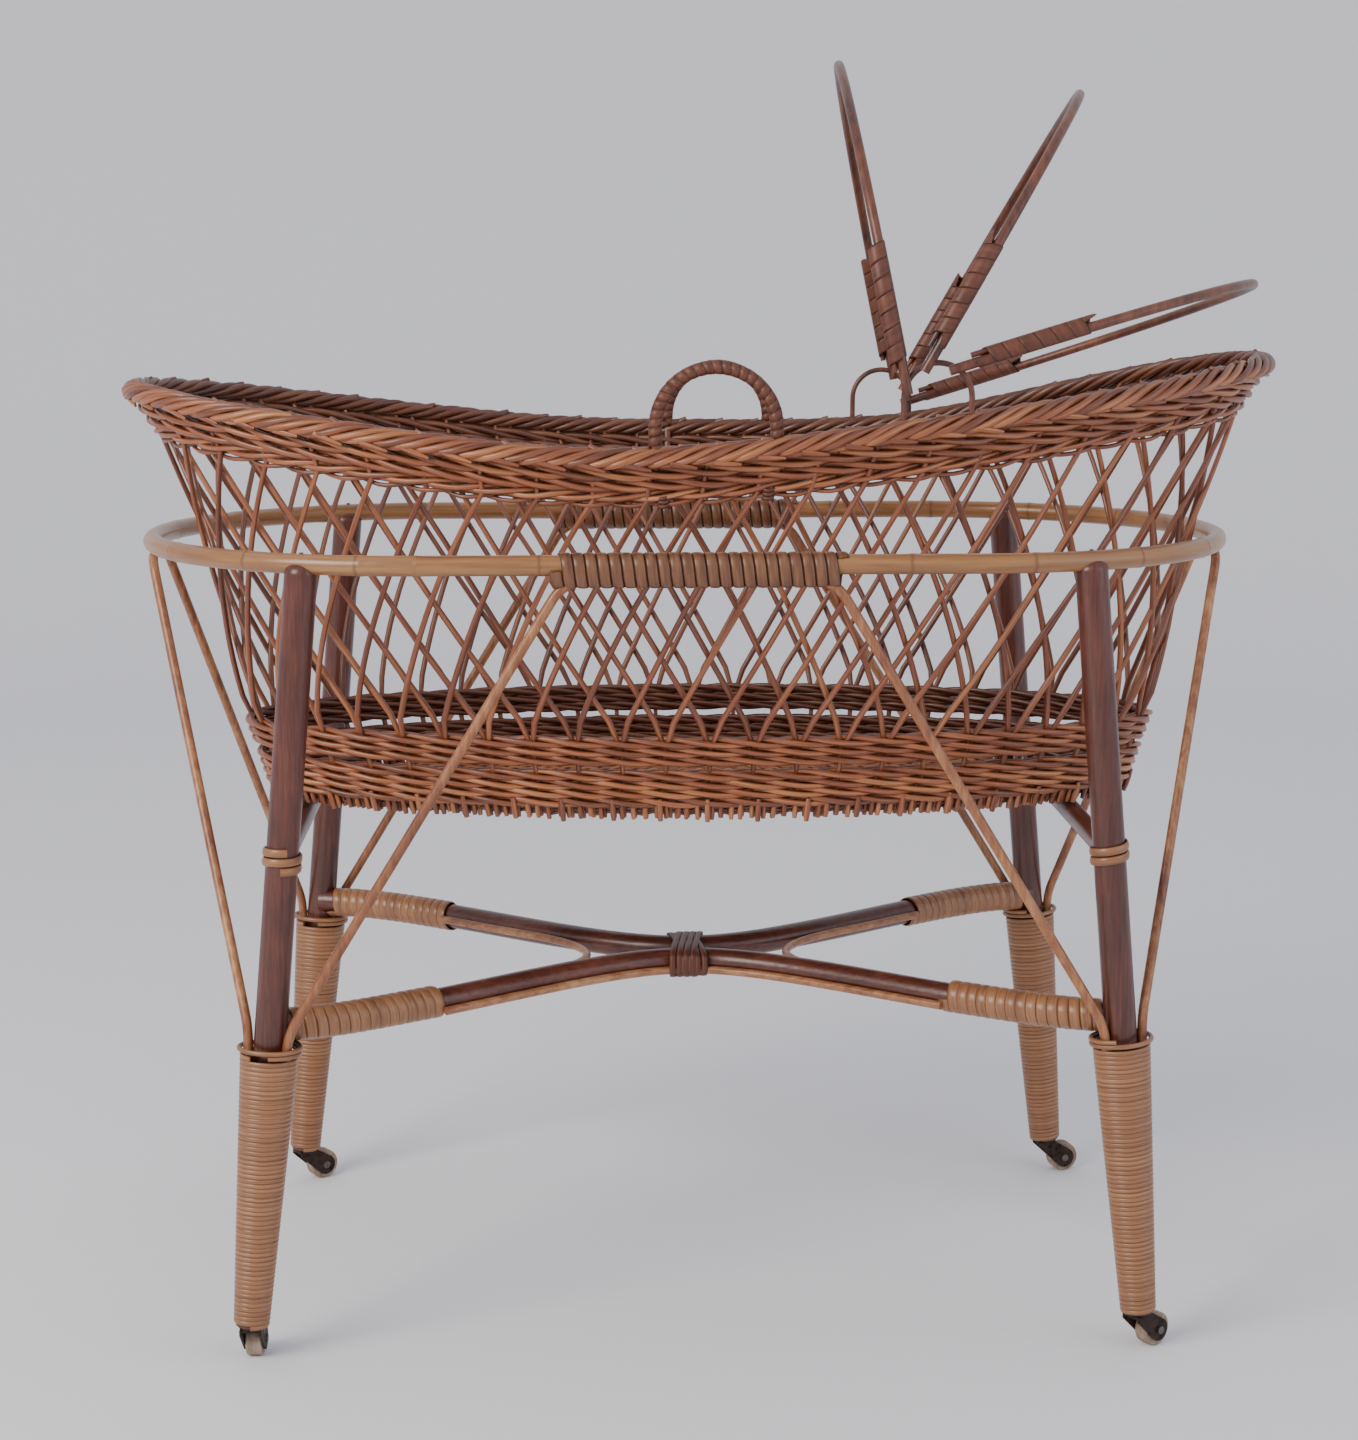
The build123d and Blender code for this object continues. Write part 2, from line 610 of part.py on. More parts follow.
def caster_fork(corner):
    """Stamped horn: a crown, two cheeks and the swivel pin."""
    foot, trail, side = caster_frame(corner)
    inner = WHEEL_WIDTH / 2 + CHEEK_GAP
    with BuildPart() as fork:
        for hand in (-1, 1):
            start = inner if hand > 0 else -inner - CHEEK
            with BuildSketch(side.offset(start)):
                with Locations((TRAIL, WHEEL_RADIUS)):
                    Circle(CHEEK_RADIUS)
                with Locations((0, CROWN_TOP - CROWN)):
                    Rectangle(2 * CROWN_HALF, 2 * CROWN)
                make_hull()
            extrude(amount=CHEEK)
        with BuildSketch(side.offset(-inner)):
            with Locations((0, (CROWN_BOTTOM + CROWN_TOP) / 2)):
                Rectangle(2 * CROWN_HALF, CROWN)
        extrude(amount=2 * inner)
        with BuildSketch(Plane.XY.offset(CROWN_TOP)):
            with Locations((foot.X, foot.Y)):
                Circle(SWIVEL_PIN_RADIUS)
        extrude(amount=SWIVEL_PIN_LENGTH - SOCKET_GAP)
        with BuildSketch(side.offset(-inner - 2 * CHEEK)):
            with Locations((TRAIL, WHEEL_RADIUS)):
                Circle(AXLE_RADIUS)
        extrude(amount=2 * inner + 4 * CHEEK, mode=Mode.SUBTRACT)
        with BuildSketch(Plane.XY.offset(CROWN_TOP)):
            with Locations((foot.X, foot.Y)):
                Circle(2 * SOCKET_FLANGE_RADIUS)
                Circle(SWIVEL_PIN_RADIUS, mode=Mode.SUBTRACT)
        extrude(amount=2 * CROWN, mode=Mode.SUBTRACT)
    return fork


def caster_wheel(corner):
    """Small solid wheel with eased edges and a bore."""
    _, _, side = caster_frame(corner)
    with BuildPart() as wheel:
        with BuildSketch(side.offset(-WHEEL_WIDTH / 2)):
            with Locations((TRAIL, WHEEL_RADIUS)):
                Circle(WHEEL_RADIUS)
        extrude(amount=WHEEL_WIDTH)
        fillet(wheel.edges().filter_by(GeomType.CIRCLE), WHEEL_EDGE)
        with BuildSketch(side.offset(-WHEEL_WIDTH)):
            with Locations((TRAIL, WHEEL_RADIUS)):
                Circle(AXLE_RADIUS + WHEEL_BORE_GAP)
        extrude(amount=2 * WHEEL_WIDTH, mode=Mode.SUBTRACT)
    return wheel


def caster_axle(corner):
    """Riveted pin through both cheeks."""
    _, _, side = caster_frame(corner)
    outer = WHEEL_WIDTH / 2 + CHEEK_GAP + CHEEK
    with BuildPart() as axle:
        with BuildSketch(side.offset(-outer)):
            with Locations((TRAIL, WHEEL_RADIUS)):
                Circle(AXLE_RADIUS)
        extrude(amount=2 * outer)
        for start in (-outer - AXLE_HEAD, outer):
            with BuildSketch(side.offset(start)):
                with Locations((TRAIL, WHEEL_RADIUS)):
                    Circle(AXLE_HEAD_RADIUS)
            extrude(amount=AXLE_HEAD)
    return axle


# Basket pieces --------------------------------------------------------------------

def edge_angle(share, half_length, half_width):
    """Ellipse angle at a share of the way round its edge, measured along the edge."""
    with BuildLine() as edge:
        EllipticalCenterArc((0, 0), half_length, half_width, arc_size=360)
    point = edge.line @ (share % 1.0)
    return atan2(point.Y / half_width, point.X / half_length)


def stake_points(number, lean, inset):
    """Lower end, middle and upper end of a stake's axis."""
    start = number / STAKE_COUNT
    end = (number + lean * STAKE_SHIFT) / STAKE_COUNT
    low_length = LOWER_HALF_LENGTH - inset
    low_width = LOWER_HALF_WIDTH - inset
    low_angle = edge_angle(start, low_length, low_width)
    low = Vector(low_length * cos(low_angle), low_width * sin(low_angle), LOWER_TOP)
    top_length = cone_half_length(END_HEIGHT - BAND_DEPTH) - inset
    top_width = cone_half_width(SIDE_HEIGHT - BAND_DEPTH) - inset
    top_angle = edge_angle(end, top_length, top_width)
    high = rim_point(top_angle, BAND_DEPTH, inset)
    turn = atan2(sin(top_angle - low_angle), cos(top_angle - low_angle))
    angle = low_angle + turn / 2
    height = (low.Z + high.Z) / 2
    bow = END_BOW * cos(angle) ** 2
    middle_length = (low_length + hypot(high.X, high.Y * top_length / top_width)) / 2 - bow
    middle_width = (low_width + hypot(high.Y, high.X * top_width / top_length)) / 2
    middle = Vector(middle_length * cos(angle), middle_width * sin(angle), height)
    return low, middle, high


def stakes(lean, inset):
    """All the stakes that lean one way, as separate rods."""
    with BuildPart() as rods:
        for number in range(STAKE_COUNT):
            low, middle, high = stake_points(number, lean, inset)
            with BuildLine() as arc:
                ThreePointArc(low, middle, high)
            line = arc.line
            bottom = (line @ 0) - (line % 0) * STAKE_BURIED
            top = (line @ 1) + (line % 1) * STAKE_BURIED
            with BuildLine() as route:
                Line(bottom, line @ 0)
                add(line)
                Line(line @ 1, top)
            path = route.wires()[0]
            with BuildSketch(Plane(origin=path @ 0, z_dir=path % 0)):
                Circle(STAKE_ROD / 2)
            sweep(path=path)
    return rods


def base_sticks():
    """Long sticks that the base is woven on."""
    spread = 2 * (BASE_HALF_WIDTH - WALL) / (BASE_STICK_COUNT + 1)
    height = BASE_TOP - BASE_MAT / 2
    pairs = []
    for number in range(BASE_STICK_COUNT):
        y = (number - (BASE_STICK_COUNT - 1) / 2) * spread
        reach = (BASE_HALF_LENGTH - WALL) * (1 - (y / (BASE_HALF_WIDTH - WALL)) ** 2) ** 0.5 - 2 * BASE_STICK
        pairs.append(((-reach, y, height), (reach, y, height)))
    return straight_rods(pairs, BASE_STICK)


def base_mat():
    """Woven floor of the basket."""
    with BuildPart() as mat:
        with BuildSketch(Plane.XY.offset(BASE_TOP - BASE_MAT)):
            Ellipse(BASE_HALF_LENGTH - WALL, BASE_HALF_WIDTH - WALL)
        extrude(amount=BASE_MAT)
    return mat


def handle_line(name):
    """Axis of a handle: out of the upper band, through the border and over."""
    side_y = SIDES[name]
    foot = rim_point(side_y * pi / 2, BORDER_DEPTH / 2, BORDER_WIDTH / 2)
    low = rim_point(side_y * pi / 2, BAND_DEPTH, WALL / 2)
    tail = foot + (low - foot).normalized() * HANDLE_TAIL
    top = rim_top(HANDLE_X[name], foot.Y) + HANDLE_RISE[name]
    route = []
    for side_x in (1, -1):
        x = HANDLE_X[name] + side_x * HANDLE_REACH
        route.append([Vector(x, tail.Y, tail.Z), Vector(x, foot.Y, foot.Z), Vector(x, foot.Y, top)])
    bends = [HANDLE_FOOT_BEND, HANDLE_ARCH, HANDLE_ARCH, HANDLE_FOOT_BEND]
    with BuildLine() as line:
        FilletPolyline(*(route[0] + route[1][::-1]), radius=bends)
    return line.wires()[0], foot.Y, top


def handle_wrap(name, core):
    """Cane wound on the part of a handle that the hand holds."""
    _, y, top = handle_line(name)
    route = []
    for side_x in (1, -1):
        x = HANDLE_X[name] + side_x * HANDLE_REACH
        route.append([Vector(x, y, rim_top(x, y) + HANDLE_WRAP_GAP), Vector(x, y, top)])
    with BuildLine() as line:
        FilletPolyline(*(route[0] + route[1][::-1]), radius=HANDLE_ARCH)
    wrap = round_rod(line.wires()[0], HANDLE_OUTSIDE)
    return cut_away(wrap, core)


# Hood -----------------------------------------------------------------------------

LOOP_X = {"front": LOOP_FRONT_X, "back": LOOP_BACK_X}
LOOP_HEIGHT = {name: rim_top(LOOP_X[name], SIDES[name] * LOOP_Y) + LOOP_RISE for name in SIDES}


def hood_loop(name):
    """Thin cane arch with both feet pushed into the border."""
    centre_x = LOOP_X[name]
    y = SIDES[name] * LOOP_Y
    feet = [rim_top(centre_x + side * LOOP_RADIUS, y) - LOOP_FOOT - LOOP_HEIGHT[name] for side in (-1, 1)]
    with BuildLine(Plane(origin=(centre_x, y, LOOP_HEIGHT[name]), x_dir=(1, 0, 0), z_dir=(0, -1, 0))) as line:
        Line((-LOOP_RADIUS, feet[0]), (-LOOP_RADIUS, 0))
        ThreePointArc((-LOOP_RADIUS, 0), (0, LOOP_RADIUS), (LOOP_RADIUS, 0))
        Line((LOOP_RADIUS, 0), (LOOP_RADIUS, feet[1]))
    return round_rod(line.wires()[0], LOOP_CANE)


def loop_point(name, angle):
    """Point on a loop's arch, by its angle from the head end."""
    x = LOOP_X[name] + LOOP_RADIUS * cos(radians(angle))
    return Vector(x, SIDES[name] * LOOP_Y, LOOP_HEIGHT[name] + LOOP_RADIUS * sin(radians(angle)))


def hoop_frame(hoop):
    """Plane of a hoop: x along its pivot line to the back, y toward its crown."""
    front_angle, back_angle, elevation, _ = HOOPS[hoop]
    front = loop_point("front", front_angle)
    back = loop_point("back", back_angle)
    pivot = (back - front).normalized()
    toward = Vector(cos(radians(elevation)), 0, sin(radians(elevation)))
    up = (toward - pivot * toward.dot(pivot)).normalized()
    plane = Plane(origin=(front + back) / 2, x_dir=pivot, z_dir=pivot.cross(up))
    return plane, (back - front).length / 2


LEG_OFFSET = (LOOP_CANE + HOOP_ROD) / 2 + EYE_GAP
EYE_OFFSET = (LOOP_CANE + EYE_CANE) / 2 + EYE_GAP


def hoop_bow(hoop):
    """Bent rod: two straight legs and a round crown."""
    plane, half_pivot = hoop_frame(hoop)
    half_width = half_pivot + LEG_OFFSET
    length = HOOPS[hoop][3]
    with BuildLine(plane) as line:
        Line((-half_width, -LEG_BEYOND), (-half_width, length - half_width))
        ThreePointArc((-half_width, length - half_width), (0, length), (half_width, length - half_width))
        Line((half_width, length - half_width), (half_width, -LEG_BEYOND))
    return round_rod(line.wires()[0], HOOP_ROD)


def splint_line(plane, half_width, length, side):
    """Axis of a splint in the hoop's plane, on one leg: it follows the bow."""
    straight = length - half_width
    with BuildLine(plane.offset(-(HOOP_ROD + SPLINT_ROD) / 2 - SPLINT_GAP)) as line:
        if BINDING_END <= straight:
            Line((side * half_width, SPLINT_START), (side * half_width, BINDING_END))
        else:
            swing = degrees((BINDING_END - straight) / half_width)
            Line((side * half_width, SPLINT_START), (side * half_width, straight))
            if side > 0:
                CenterArc((0, straight), half_width, 0, swing)
            else:
                CenterArc((0, straight), half_width, 180, -swing)
    return line.wires()[0]


def hoop_splints(hoop):
    """Second rod that doubles each leg."""
    plane, half_pivot = hoop_frame(hoop)
    half_width = half_pivot + LEG_OFFSET
    length = HOOPS[hoop][3]
    return gather([round_rod(splint_line(plane, half_width, length, side), SPLINT_ROD) for side in (-1, 1)])


def hoop_eyes(hoop):
    """Thin cane on the inner side of each leg, so that the loop runs between them."""
    plane, half_pivot = hoop_frame(hoop)
    inner = half_pivot - EYE_OFFSET
    tucked = half_pivot + LEG_OFFSET - (HOOP_ROD + EYE_CANE) / 2 - SPLINT_GAP
    eyes = []
    for side in (-1, 1):
        with BuildLine(plane) as line:
            FilletPolyline((side * inner, EYE_CANE - LEG_BEYOND), (side * inner, EYE_TURN),
                           (side * tucked, EYE_TURN + EYE_SLOPE), (side * tucked, EYE_TOP), radius=EYE_BEND)
        eyes.append(round_rod(line.wires()[0], EYE_CANE))
    return gather(eyes)


def hoop_bindings(hoop, inside):
    """Split cane wound over each doubled leg."""
    plane, half_pivot = hoop_frame(hoop)
    half_width = half_pivot + LEG_OFFSET
    straight = HOOPS[hoop][3] - half_width
    deep = HOOP_ROD + SPLINT_GAP + SPLINT_ROD + 2 * BINDING_CANE
    wide = HOOP_ROD + EYE_CANE + 2 * BINDING_CANE
    swing = degrees((BINDING_END - straight) / half_width)
    sleeves = []
    for side in (-1, 1):
        with BuildPart() as sleeve:
            with BuildLine(plane) as line:
                Line((side * half_width, BINDING_START), (side * half_width, straight))
                if side > 0:
                    CenterArc((0, straight), half_width, 0, swing)
                else:
                    CenterArc((0, straight), half_width, 180, -swing)
            path = line.wires()[0]
            shift = plane.z_dir * (-(SPLINT_ROD + SPLINT_GAP) / 2) - plane.x_dir * (side * EYE_CANE / 2)
            with BuildSketch(Plane(origin=(path @ 0) + shift, x_dir=plane.x_dir, z_dir=plane.y_dir)):
                RectangleRounded(wide, deep, HOOP_ROD / 2)
            sweep(path=path)
            for piece in inside:
                add(piece.part, mode=Mode.SUBTRACT)
        sleeves.append(sleeve)
    return gather(sleeves)


# Make everything --------------------------------------------------------------------

def build_stand():
    """Ring, legs, braces, bars and their bindings."""
    ring = round_rod(ring_line(), RING_ROD)
    side_braces = {name: side_brace(side_y) for name, side_y in SIDES.items()}
    end_braces = {name: end_brace(side_x) for name, side_x in ENDS.items()}
    lines = {name: stretcher_line(side_y) for name, side_y in SIDES.items()}
    legs = {}
    for corner, (side_x, side_y, _) in CASTERS.items():
        legs[corner] = leg(side_x, side_y, ring)
    finish_piece(ring, "support_ring")
    for corner, pole in legs.items():
        finish_piece(pole, f"leg_{corner}")

    bars = {}
    for name, line in lines.items():
        bars[name] = cut_away(round_rod(line, STRETCHER_BAR), *legs.values())
        finish_piece(bars[name], f"stretcher_{name}")
    cradle_bars = {}
    for name, side_x in ENDS.items():
        cradle_bars[name] = cradle_bar(side_x, legs.values())
        finish_piece(cradle_bars[name], f"cradle_bar_{name}")
    for name, brace in side_braces.items():
        finish_piece(brace, f"side_brace_{name}")
    bindings = [ring_binding(SIDES[name], [ring, brace]) for name, brace in side_braces.items()]
    finish_piece(gather(bindings), "ring_bindings")
    for name, brace in end_braces.items():
        finish_piece(brace, f"end_brace_{name}")

    leg_wraps = []
    knuckle_ties = []
    cradle_ties = []
    sleeves = []
    nails = []
    for corner, (side_x, side_y, _) in CASTERS.items():
        side = "front" if side_y < 0 else "back"
        end = "foot" if side_x < 0 else "head"
        rods = [legs[corner], side_braces[side], end_braces[end]]
        leg_wraps.append(leg_wrap(side_x, side_y, rods))
        knuckle_ties.append(leg_tie(side_x, side_y, KNUCKLE_HEIGHT - KNUCKLE_TIE, KNUCKLE_TIE,
                                    KNUCKLE_WRAP_LONG + TIE_CANE, KNUCKLE_WRAP_SHORT + TIE_CANE,
                                    rods + [bars[side]]))
        grip = LEG_POLE / 2 + CRADLE_TIE_CANE
        cradle_ties.append(leg_tie(side_x, side_y, CRADLE_HEIGHT - CRADLE_TIE / 2, CRADLE_TIE,
                                   grip, grip, [legs[corner], cradle_bars[end]]))
        sleeves.append(stretcher_sleeve(lines[side], side_x, side_y,
                                        [bars[side], legs[corner], side_braces[side]]))
        nails.append(ring_nail(side_x, side_y, ring))
    finish_piece(gather(leg_wraps), "leg_wraps")
    finish_piece(gather(knuckle_ties), "knuckle_ties")
    finish_piece(gather(cradle_ties), "cradle_ties")
    finish_piece(gather(sleeves), "stretcher_sleeves")
    finish_piece(gather(nails), "ring_nails")

    rods = [outer_crotch_rod(line, SIDES[name]) for name, line in lines.items()]
    rods += [inner_crotch_rod(lines, side_x) for side_x in ENDS.values()]
    finish_piece(gather(rods), "crotch_rods")
    finish_piece(stretcher_lashing(list(bars.values()) + rods), "stretcher_lashing")


def build_casters():
    """Socket, fork, wheel and axle under each leg."""
    finish_piece(gather([caster_socket(corner) for corner in CASTERS]), "caster_sockets")
    for corner in CASTERS:
        finish_piece(caster_fork(corner), f"caster_fork_{corner}")
        finish_piece(caster_wheel(corner), f"caster_wheel_{corner}")
        finish_piece(caster_axle(corner), f"caster_axle_{corner}")


def build_basket():
    """Base, walls, lattice, border and handles."""
    finish_piece(base_sticks(), "base_sticks")
    finish_piece(base_mat(), "base_mat")
    border = [(BASE_BOTTOM, BASE_HALF_LENGTH, BASE_HALF_WIDTH),
              (BASE_TOP, BASE_HALF_LENGTH, BASE_HALF_WIDTH)]
    finish_piece(oval_wall(border, WALL), "base_border")
    lower = [(BASE_TOP, BASE_HALF_LENGTH, BASE_HALF_WIDTH),
             (LOWER_TOP, LOWER_HALF_LENGTH, LOWER_HALF_WIDTH)]
    finish_piece(oval_wall(lower, WALL), "lower_weave")
    spread = (STAKE_ROD + STAKE_LAYER_GAP) / 2
    finish_piece(stakes(-1, WALL / 2 + spread), "stakes_leaning_foot")
    finish_piece(stakes(1, WALL / 2 - spread), "stakes_leaning_head")
    finish_piece(sloped_band(BORDER_DEPTH, BAND_DEPTH, WALL), "upper_weave")
    finish_piece(sloped_band(0.0, BORDER_DEPTH, BORDER_WIDTH), "rim_border")
    for name in SIDES:
        line, _, _ = handle_line(name)
        core = round_rod(line, HANDLE_CORE)
        finish_piece(core, f"handle_core_{name}")
        finish_piece(handle_wrap(name, core), f"handle_wrap_{name}")


def build_hood():
    """Loops and hoops."""
    finish_piece(gather([hood_loop(name) for name in SIDES]), "hood_loops")
    for hoop in HOOPS:
        bow = hoop_bow(hoop)
        splints = gather([hoop_splints(hoop), hoop_eyes(hoop)])
        finish_piece(bow, f"hoop_{hoop}_bow")
        finish_piece(splints, f"hoop_{hoop}_splints")
        finish_piece(hoop_bindings(hoop, [bow, splints]), f"hoop_{hoop}_bindings")
        plane, half_pivot = hoop_frame(hoop)
        print(f"{hoop} hoop pivot", plane.origin, plane.x_dir, f"half {half_pivot:.2f}")


build_stand()
build_casters()
build_basket()
build_hood()
print("ring", RING_HALF_LENGTH, RING_HALF_WIDTH, "leg foot", LEG_FOOT, "base bottom", BASE_BOTTOM)
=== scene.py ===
# %% [markdown]
# # A wicker bassinet on its rattan stand
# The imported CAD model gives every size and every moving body. Blender adds what it leaves plain:
# the woven willow, the wound cane, the finish of each pole and the worn iron of the casters.
# We load the frame first, because each piece has to ride on one of its bodies.

# %% Load the frame
import json
import math
import bpy
import numpy as np
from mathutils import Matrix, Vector


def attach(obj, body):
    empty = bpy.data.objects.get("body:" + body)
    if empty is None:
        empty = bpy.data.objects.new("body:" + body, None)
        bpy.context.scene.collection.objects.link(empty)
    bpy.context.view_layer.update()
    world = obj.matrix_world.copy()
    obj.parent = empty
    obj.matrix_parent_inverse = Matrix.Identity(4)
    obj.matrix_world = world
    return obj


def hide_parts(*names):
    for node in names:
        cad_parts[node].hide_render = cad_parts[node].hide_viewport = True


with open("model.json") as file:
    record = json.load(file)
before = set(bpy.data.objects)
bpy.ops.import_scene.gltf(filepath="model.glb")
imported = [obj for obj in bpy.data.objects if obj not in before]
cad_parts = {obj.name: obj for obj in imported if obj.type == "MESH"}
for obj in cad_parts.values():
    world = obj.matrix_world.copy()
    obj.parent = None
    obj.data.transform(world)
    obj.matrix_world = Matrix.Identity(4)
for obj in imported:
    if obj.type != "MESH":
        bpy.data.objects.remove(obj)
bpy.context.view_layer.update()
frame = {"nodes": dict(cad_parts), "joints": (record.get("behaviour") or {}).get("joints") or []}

# %% [markdown]
# Every size below is in millimetres, as a basket maker would give it, and one factor turns it to metres.
# Colours are written as sRGB hex values, which are what the eye and a paint card use.
# Blender's shaders want linear light, so one small function turns them.

# %% Units, colours and the node helper
MM = 0.001
chance = np.random.default_rng(17)


def linear(hexa):
    """sRGB hex to linear RGBA."""
    parts = [int(hexa[i:i + 2], 16) / 255 for i in (1, 3, 5)]
    return tuple(c / 12.92 if c <= 0.04045 else ((c + 0.055) / 1.055) ** 2.4 for c in parts) + (1.0,)


def put(tree, kind, sockets=None, **settings):
    """Adds a node, with its settings, and with a value or a link for each socket."""
    node = tree.nodes.new(kind)
    for name, value in settings.items():
        setattr(node, name, value)
    for key, value in (sockets or {}).items():
        if isinstance(value, bpy.types.NodeSocket):
            tree.links.new(value, node.inputs[key])
        else:
            node.inputs[key].default_value = value
    return node


print("willow in linear light:", [round(c, 3) for c in linear("#A8622C")])

# %% [markdown]
# ## One skin for every rod and cane
# A basket is thousands of bends of a few rods. Each one could be a bevelled curve, but then a
# pattern couldn't follow it. So a small node group sweeps a flat oval along a line and leaves three
# things on the surface for the materials: how far along the strand a point lies, which way it faces
# across the strand, and the strand's own tone. Flat split cane has to lie face down on what it wraps,
# so the line carries an outward direction, and the group squares it to the line.

# %% The skin group
def new_tree(name, inputs):
    """Empty geometry tree with named inputs and one geometry output."""
    tree = bpy.data.node_groups.new(name, "GeometryNodeTree")
    tree.interface.new_socket("Geometry", in_out="INPUT", socket_type="NodeSocketGeometry")
    for label, kind, start in inputs:
        socket = tree.interface.new_socket(label, in_out="INPUT", socket_type="NodeSocket" + kind)
        if start is not None:
            socket.default_value = start
    tree.interface.new_socket("Geometry", in_out="OUTPUT", socket_type="NodeSocketGeometry")
    return tree, put(tree, "NodeGroupInput").outputs


def stored(tree, name, data_type="FLOAT"):
    """Reads an attribute that the line carries."""
    return put(tree, "GeometryNodeInputNamedAttribute", {"Name": name},
               data_type=data_type).outputs["Attribute"]


def vector_math(tree, operation, first, second=None, scale=None):
    """One step of vector arithmetic."""
    sockets = {0: first}
    if second is not None:
        sockets[1] = second
    if scale is not None:
        sockets["Scale"] = scale
    node = put(tree, "ShaderNodeVectorMath", sockets, operation=operation)
    return node.outputs["Value" if operation in ("LENGTH", "DOT_PRODUCT") else "Vector"]


def math_step(tree, operation, first, second=0.0, clamp=False):
    """One step of plain arithmetic."""
    return put(tree, "ShaderNodeMath", {0: first, 1: second}, operation=operation,
               use_clamp=clamp).outputs[0]


SIZES = [("Thickness", "Float", 0.004), ("Width", "Float", 0.004), ("Sides", "Int", 6),
         ("Finish", "Material", None)]
skin_tree, given = new_tree("cane skin", SIZES)
along = put(skin_tree, "GeometryNodeSplineParameter").outputs["Length"]
marked = put(skin_tree, "GeometryNodeStoreNamedAttribute",
             {"Geometry": given["Geometry"], "Name": "along", "Value": along}, data_type="FLOAT",
             domain="POINT")
tangent = put(skin_tree, "GeometryNodeInputTangent").outputs["Tangent"]
outward = stored(skin_tree, "out", "FLOAT_VECTOR")
slant = vector_math(skin_tree, "PROJECT", outward, tangent)
square = vector_math(skin_tree, "NORMALIZE", vector_math(skin_tree, "SUBTRACT", outward, slant))
turned = put(skin_tree, "GeometryNodeSetCurveNormal", {"Curve": marked.outputs[0], "Normal": square},
             mode="FREE")
circle = put(skin_tree, "GeometryNodeCurvePrimitiveCircle", {"Resolution": given["Sides"], "Radius": 1.0})
place = put(skin_tree, "GeometryNodeInputPosition").outputs[0]
faced = put(skin_tree, "GeometryNodeStoreNamedAttribute",
            {"Geometry": circle.outputs["Curve"], "Name": "skin", "Value": place},
            data_type="FLOAT_VECTOR", domain="POINT")
halves = put(skin_tree, "ShaderNodeCombineXYZ",
             {"X": math_step(skin_tree, "MULTIPLY", given["Thickness"], 0.5),
                                                "Y": math_step(skin_tree, "MULTIPLY", given["Width"],
                                                               0.5)}).outputs[0]
oval = put(skin_tree, "GeometryNodeSetPosition",
           {"Geometry": faced.outputs[0], "Position": vector_math(skin_tree, "MULTIPLY", place, halves)})
swept = put(skin_tree, "GeometryNodeCurveToMesh",
            {"Curve": turned.outputs[0], "Profile Curve": oval.outputs[0],
             "Scale": stored(skin_tree, "girth"),
             "Fill Caps": True})
smooth = put(skin_tree, "GeometryNodeSetShadeSmooth", {"Geometry": swept.outputs[0]})
whole = put(skin_tree, "GeometryNodeRealizeInstances", {"Geometry": smooth.outputs[0]})
finished = put(skin_tree, "GeometryNodeSetMaterial",
               {"Geometry": whole.outputs[0], "Material": given["Finish"]})
put(skin_tree, "NodeGroupOutput", {"Geometry": finished.outputs[0]})
print("skin group:", len(skin_tree.nodes), "nodes")

# %% [markdown]
# Three trees use that skin. The first only turns lines into rods. The second winds cane round a core,
# as on a handle or a leg: a point runs along the core and swings round it once for each turn, and the
# core may be wider one way, where two rods lie side by side. The third weaves: each strand swings in
# and out of the stakes and rises and falls as it does, so three strands a third of a wave apart
# make the rope-like row that basket makers call a wale.

# %% Rods, windings and weave
def with_skin(tree, given, curve):
    """Ends a tree with the skin group and the output."""
    skin = put(tree, "GeometryNodeGroup", node_tree=skin_tree)
    tree.links.new(curve, skin.inputs["Geometry"])
    for label, _, _ in SIZES:
        tree.links.new(given[label], skin.inputs[label])
    whole = put(tree, "GeometryNodeRealizeInstances", {"Geometry": skin.outputs[0]})
    last = put(tree, "GeometryNodeSetMaterial", {"Geometry": whole.outputs[0], "Material": given["Finish"]})
    put(tree, "NodeGroupOutput", {"Geometry": last.outputs[0]})


rod_tree, given = new_tree("rods along lines", SIZES)
with_skin(rod_tree, given, put(rod_tree, "GeometryNodeMeshToCurve", {"Mesh": given["Geometry"]}).outputs[0])

winding_tree, given = new_tree("cane wound on a core",
                               SIZES + [("Pitch", "Float", 0.004), ("Steps", "Float", 16.0)])
core_line = put(winding_tree, "GeometryNodeMeshToCurve", {"Mesh": given["Geometry"]})
step = math_step(winding_tree, "DIVIDE", given["Pitch"], given["Steps"])
fine = put(winding_tree, "GeometryNodeResampleCurve", {"Curve": core_line.outputs[0], "Length": step},
           mode="LENGTH")
gone = put(winding_tree, "GeometryNodeSplineParameter").outputs["Length"]
swing = math_step(winding_tree, "MULTIPLY", math_step(winding_tree, "DIVIDE", gone, given["Pitch"]),
                  2 * math.pi)
normal = put(winding_tree, "GeometryNodeInputNormal").outputs["Normal"]
side = vector_math(winding_tree, "CROSS_PRODUCT",
                   put(winding_tree, "GeometryNodeInputTangent").outputs[0], normal)
spoke = vector_math(winding_tree, "ADD",
                    vector_math(winding_tree, "SCALE", normal,
                                scale=math_step(winding_tree, "COSINE", swing)),
                    vector_math(winding_tree, "SCALE", side, scale=math_step(winding_tree, "SINE", swing)))
kept = put(winding_tree, "GeometryNodeStoreNamedAttribute",
           {"Geometry": fine.outputs[0], "Name": "out", "Value": spoke},
           data_type="FLOAT_VECTOR", domain="POINT")
spoke = stored(winding_tree, "out", "FLOAT_VECTOR")
wide = stored(winding_tree, "wide", "FLOAT_VECTOR")
extra = vector_math(winding_tree, "SCALE", vector_math(winding_tree, "PROJECT", spoke, wide),
                    scale=vector_math(winding_tree, "LENGTH", wide))
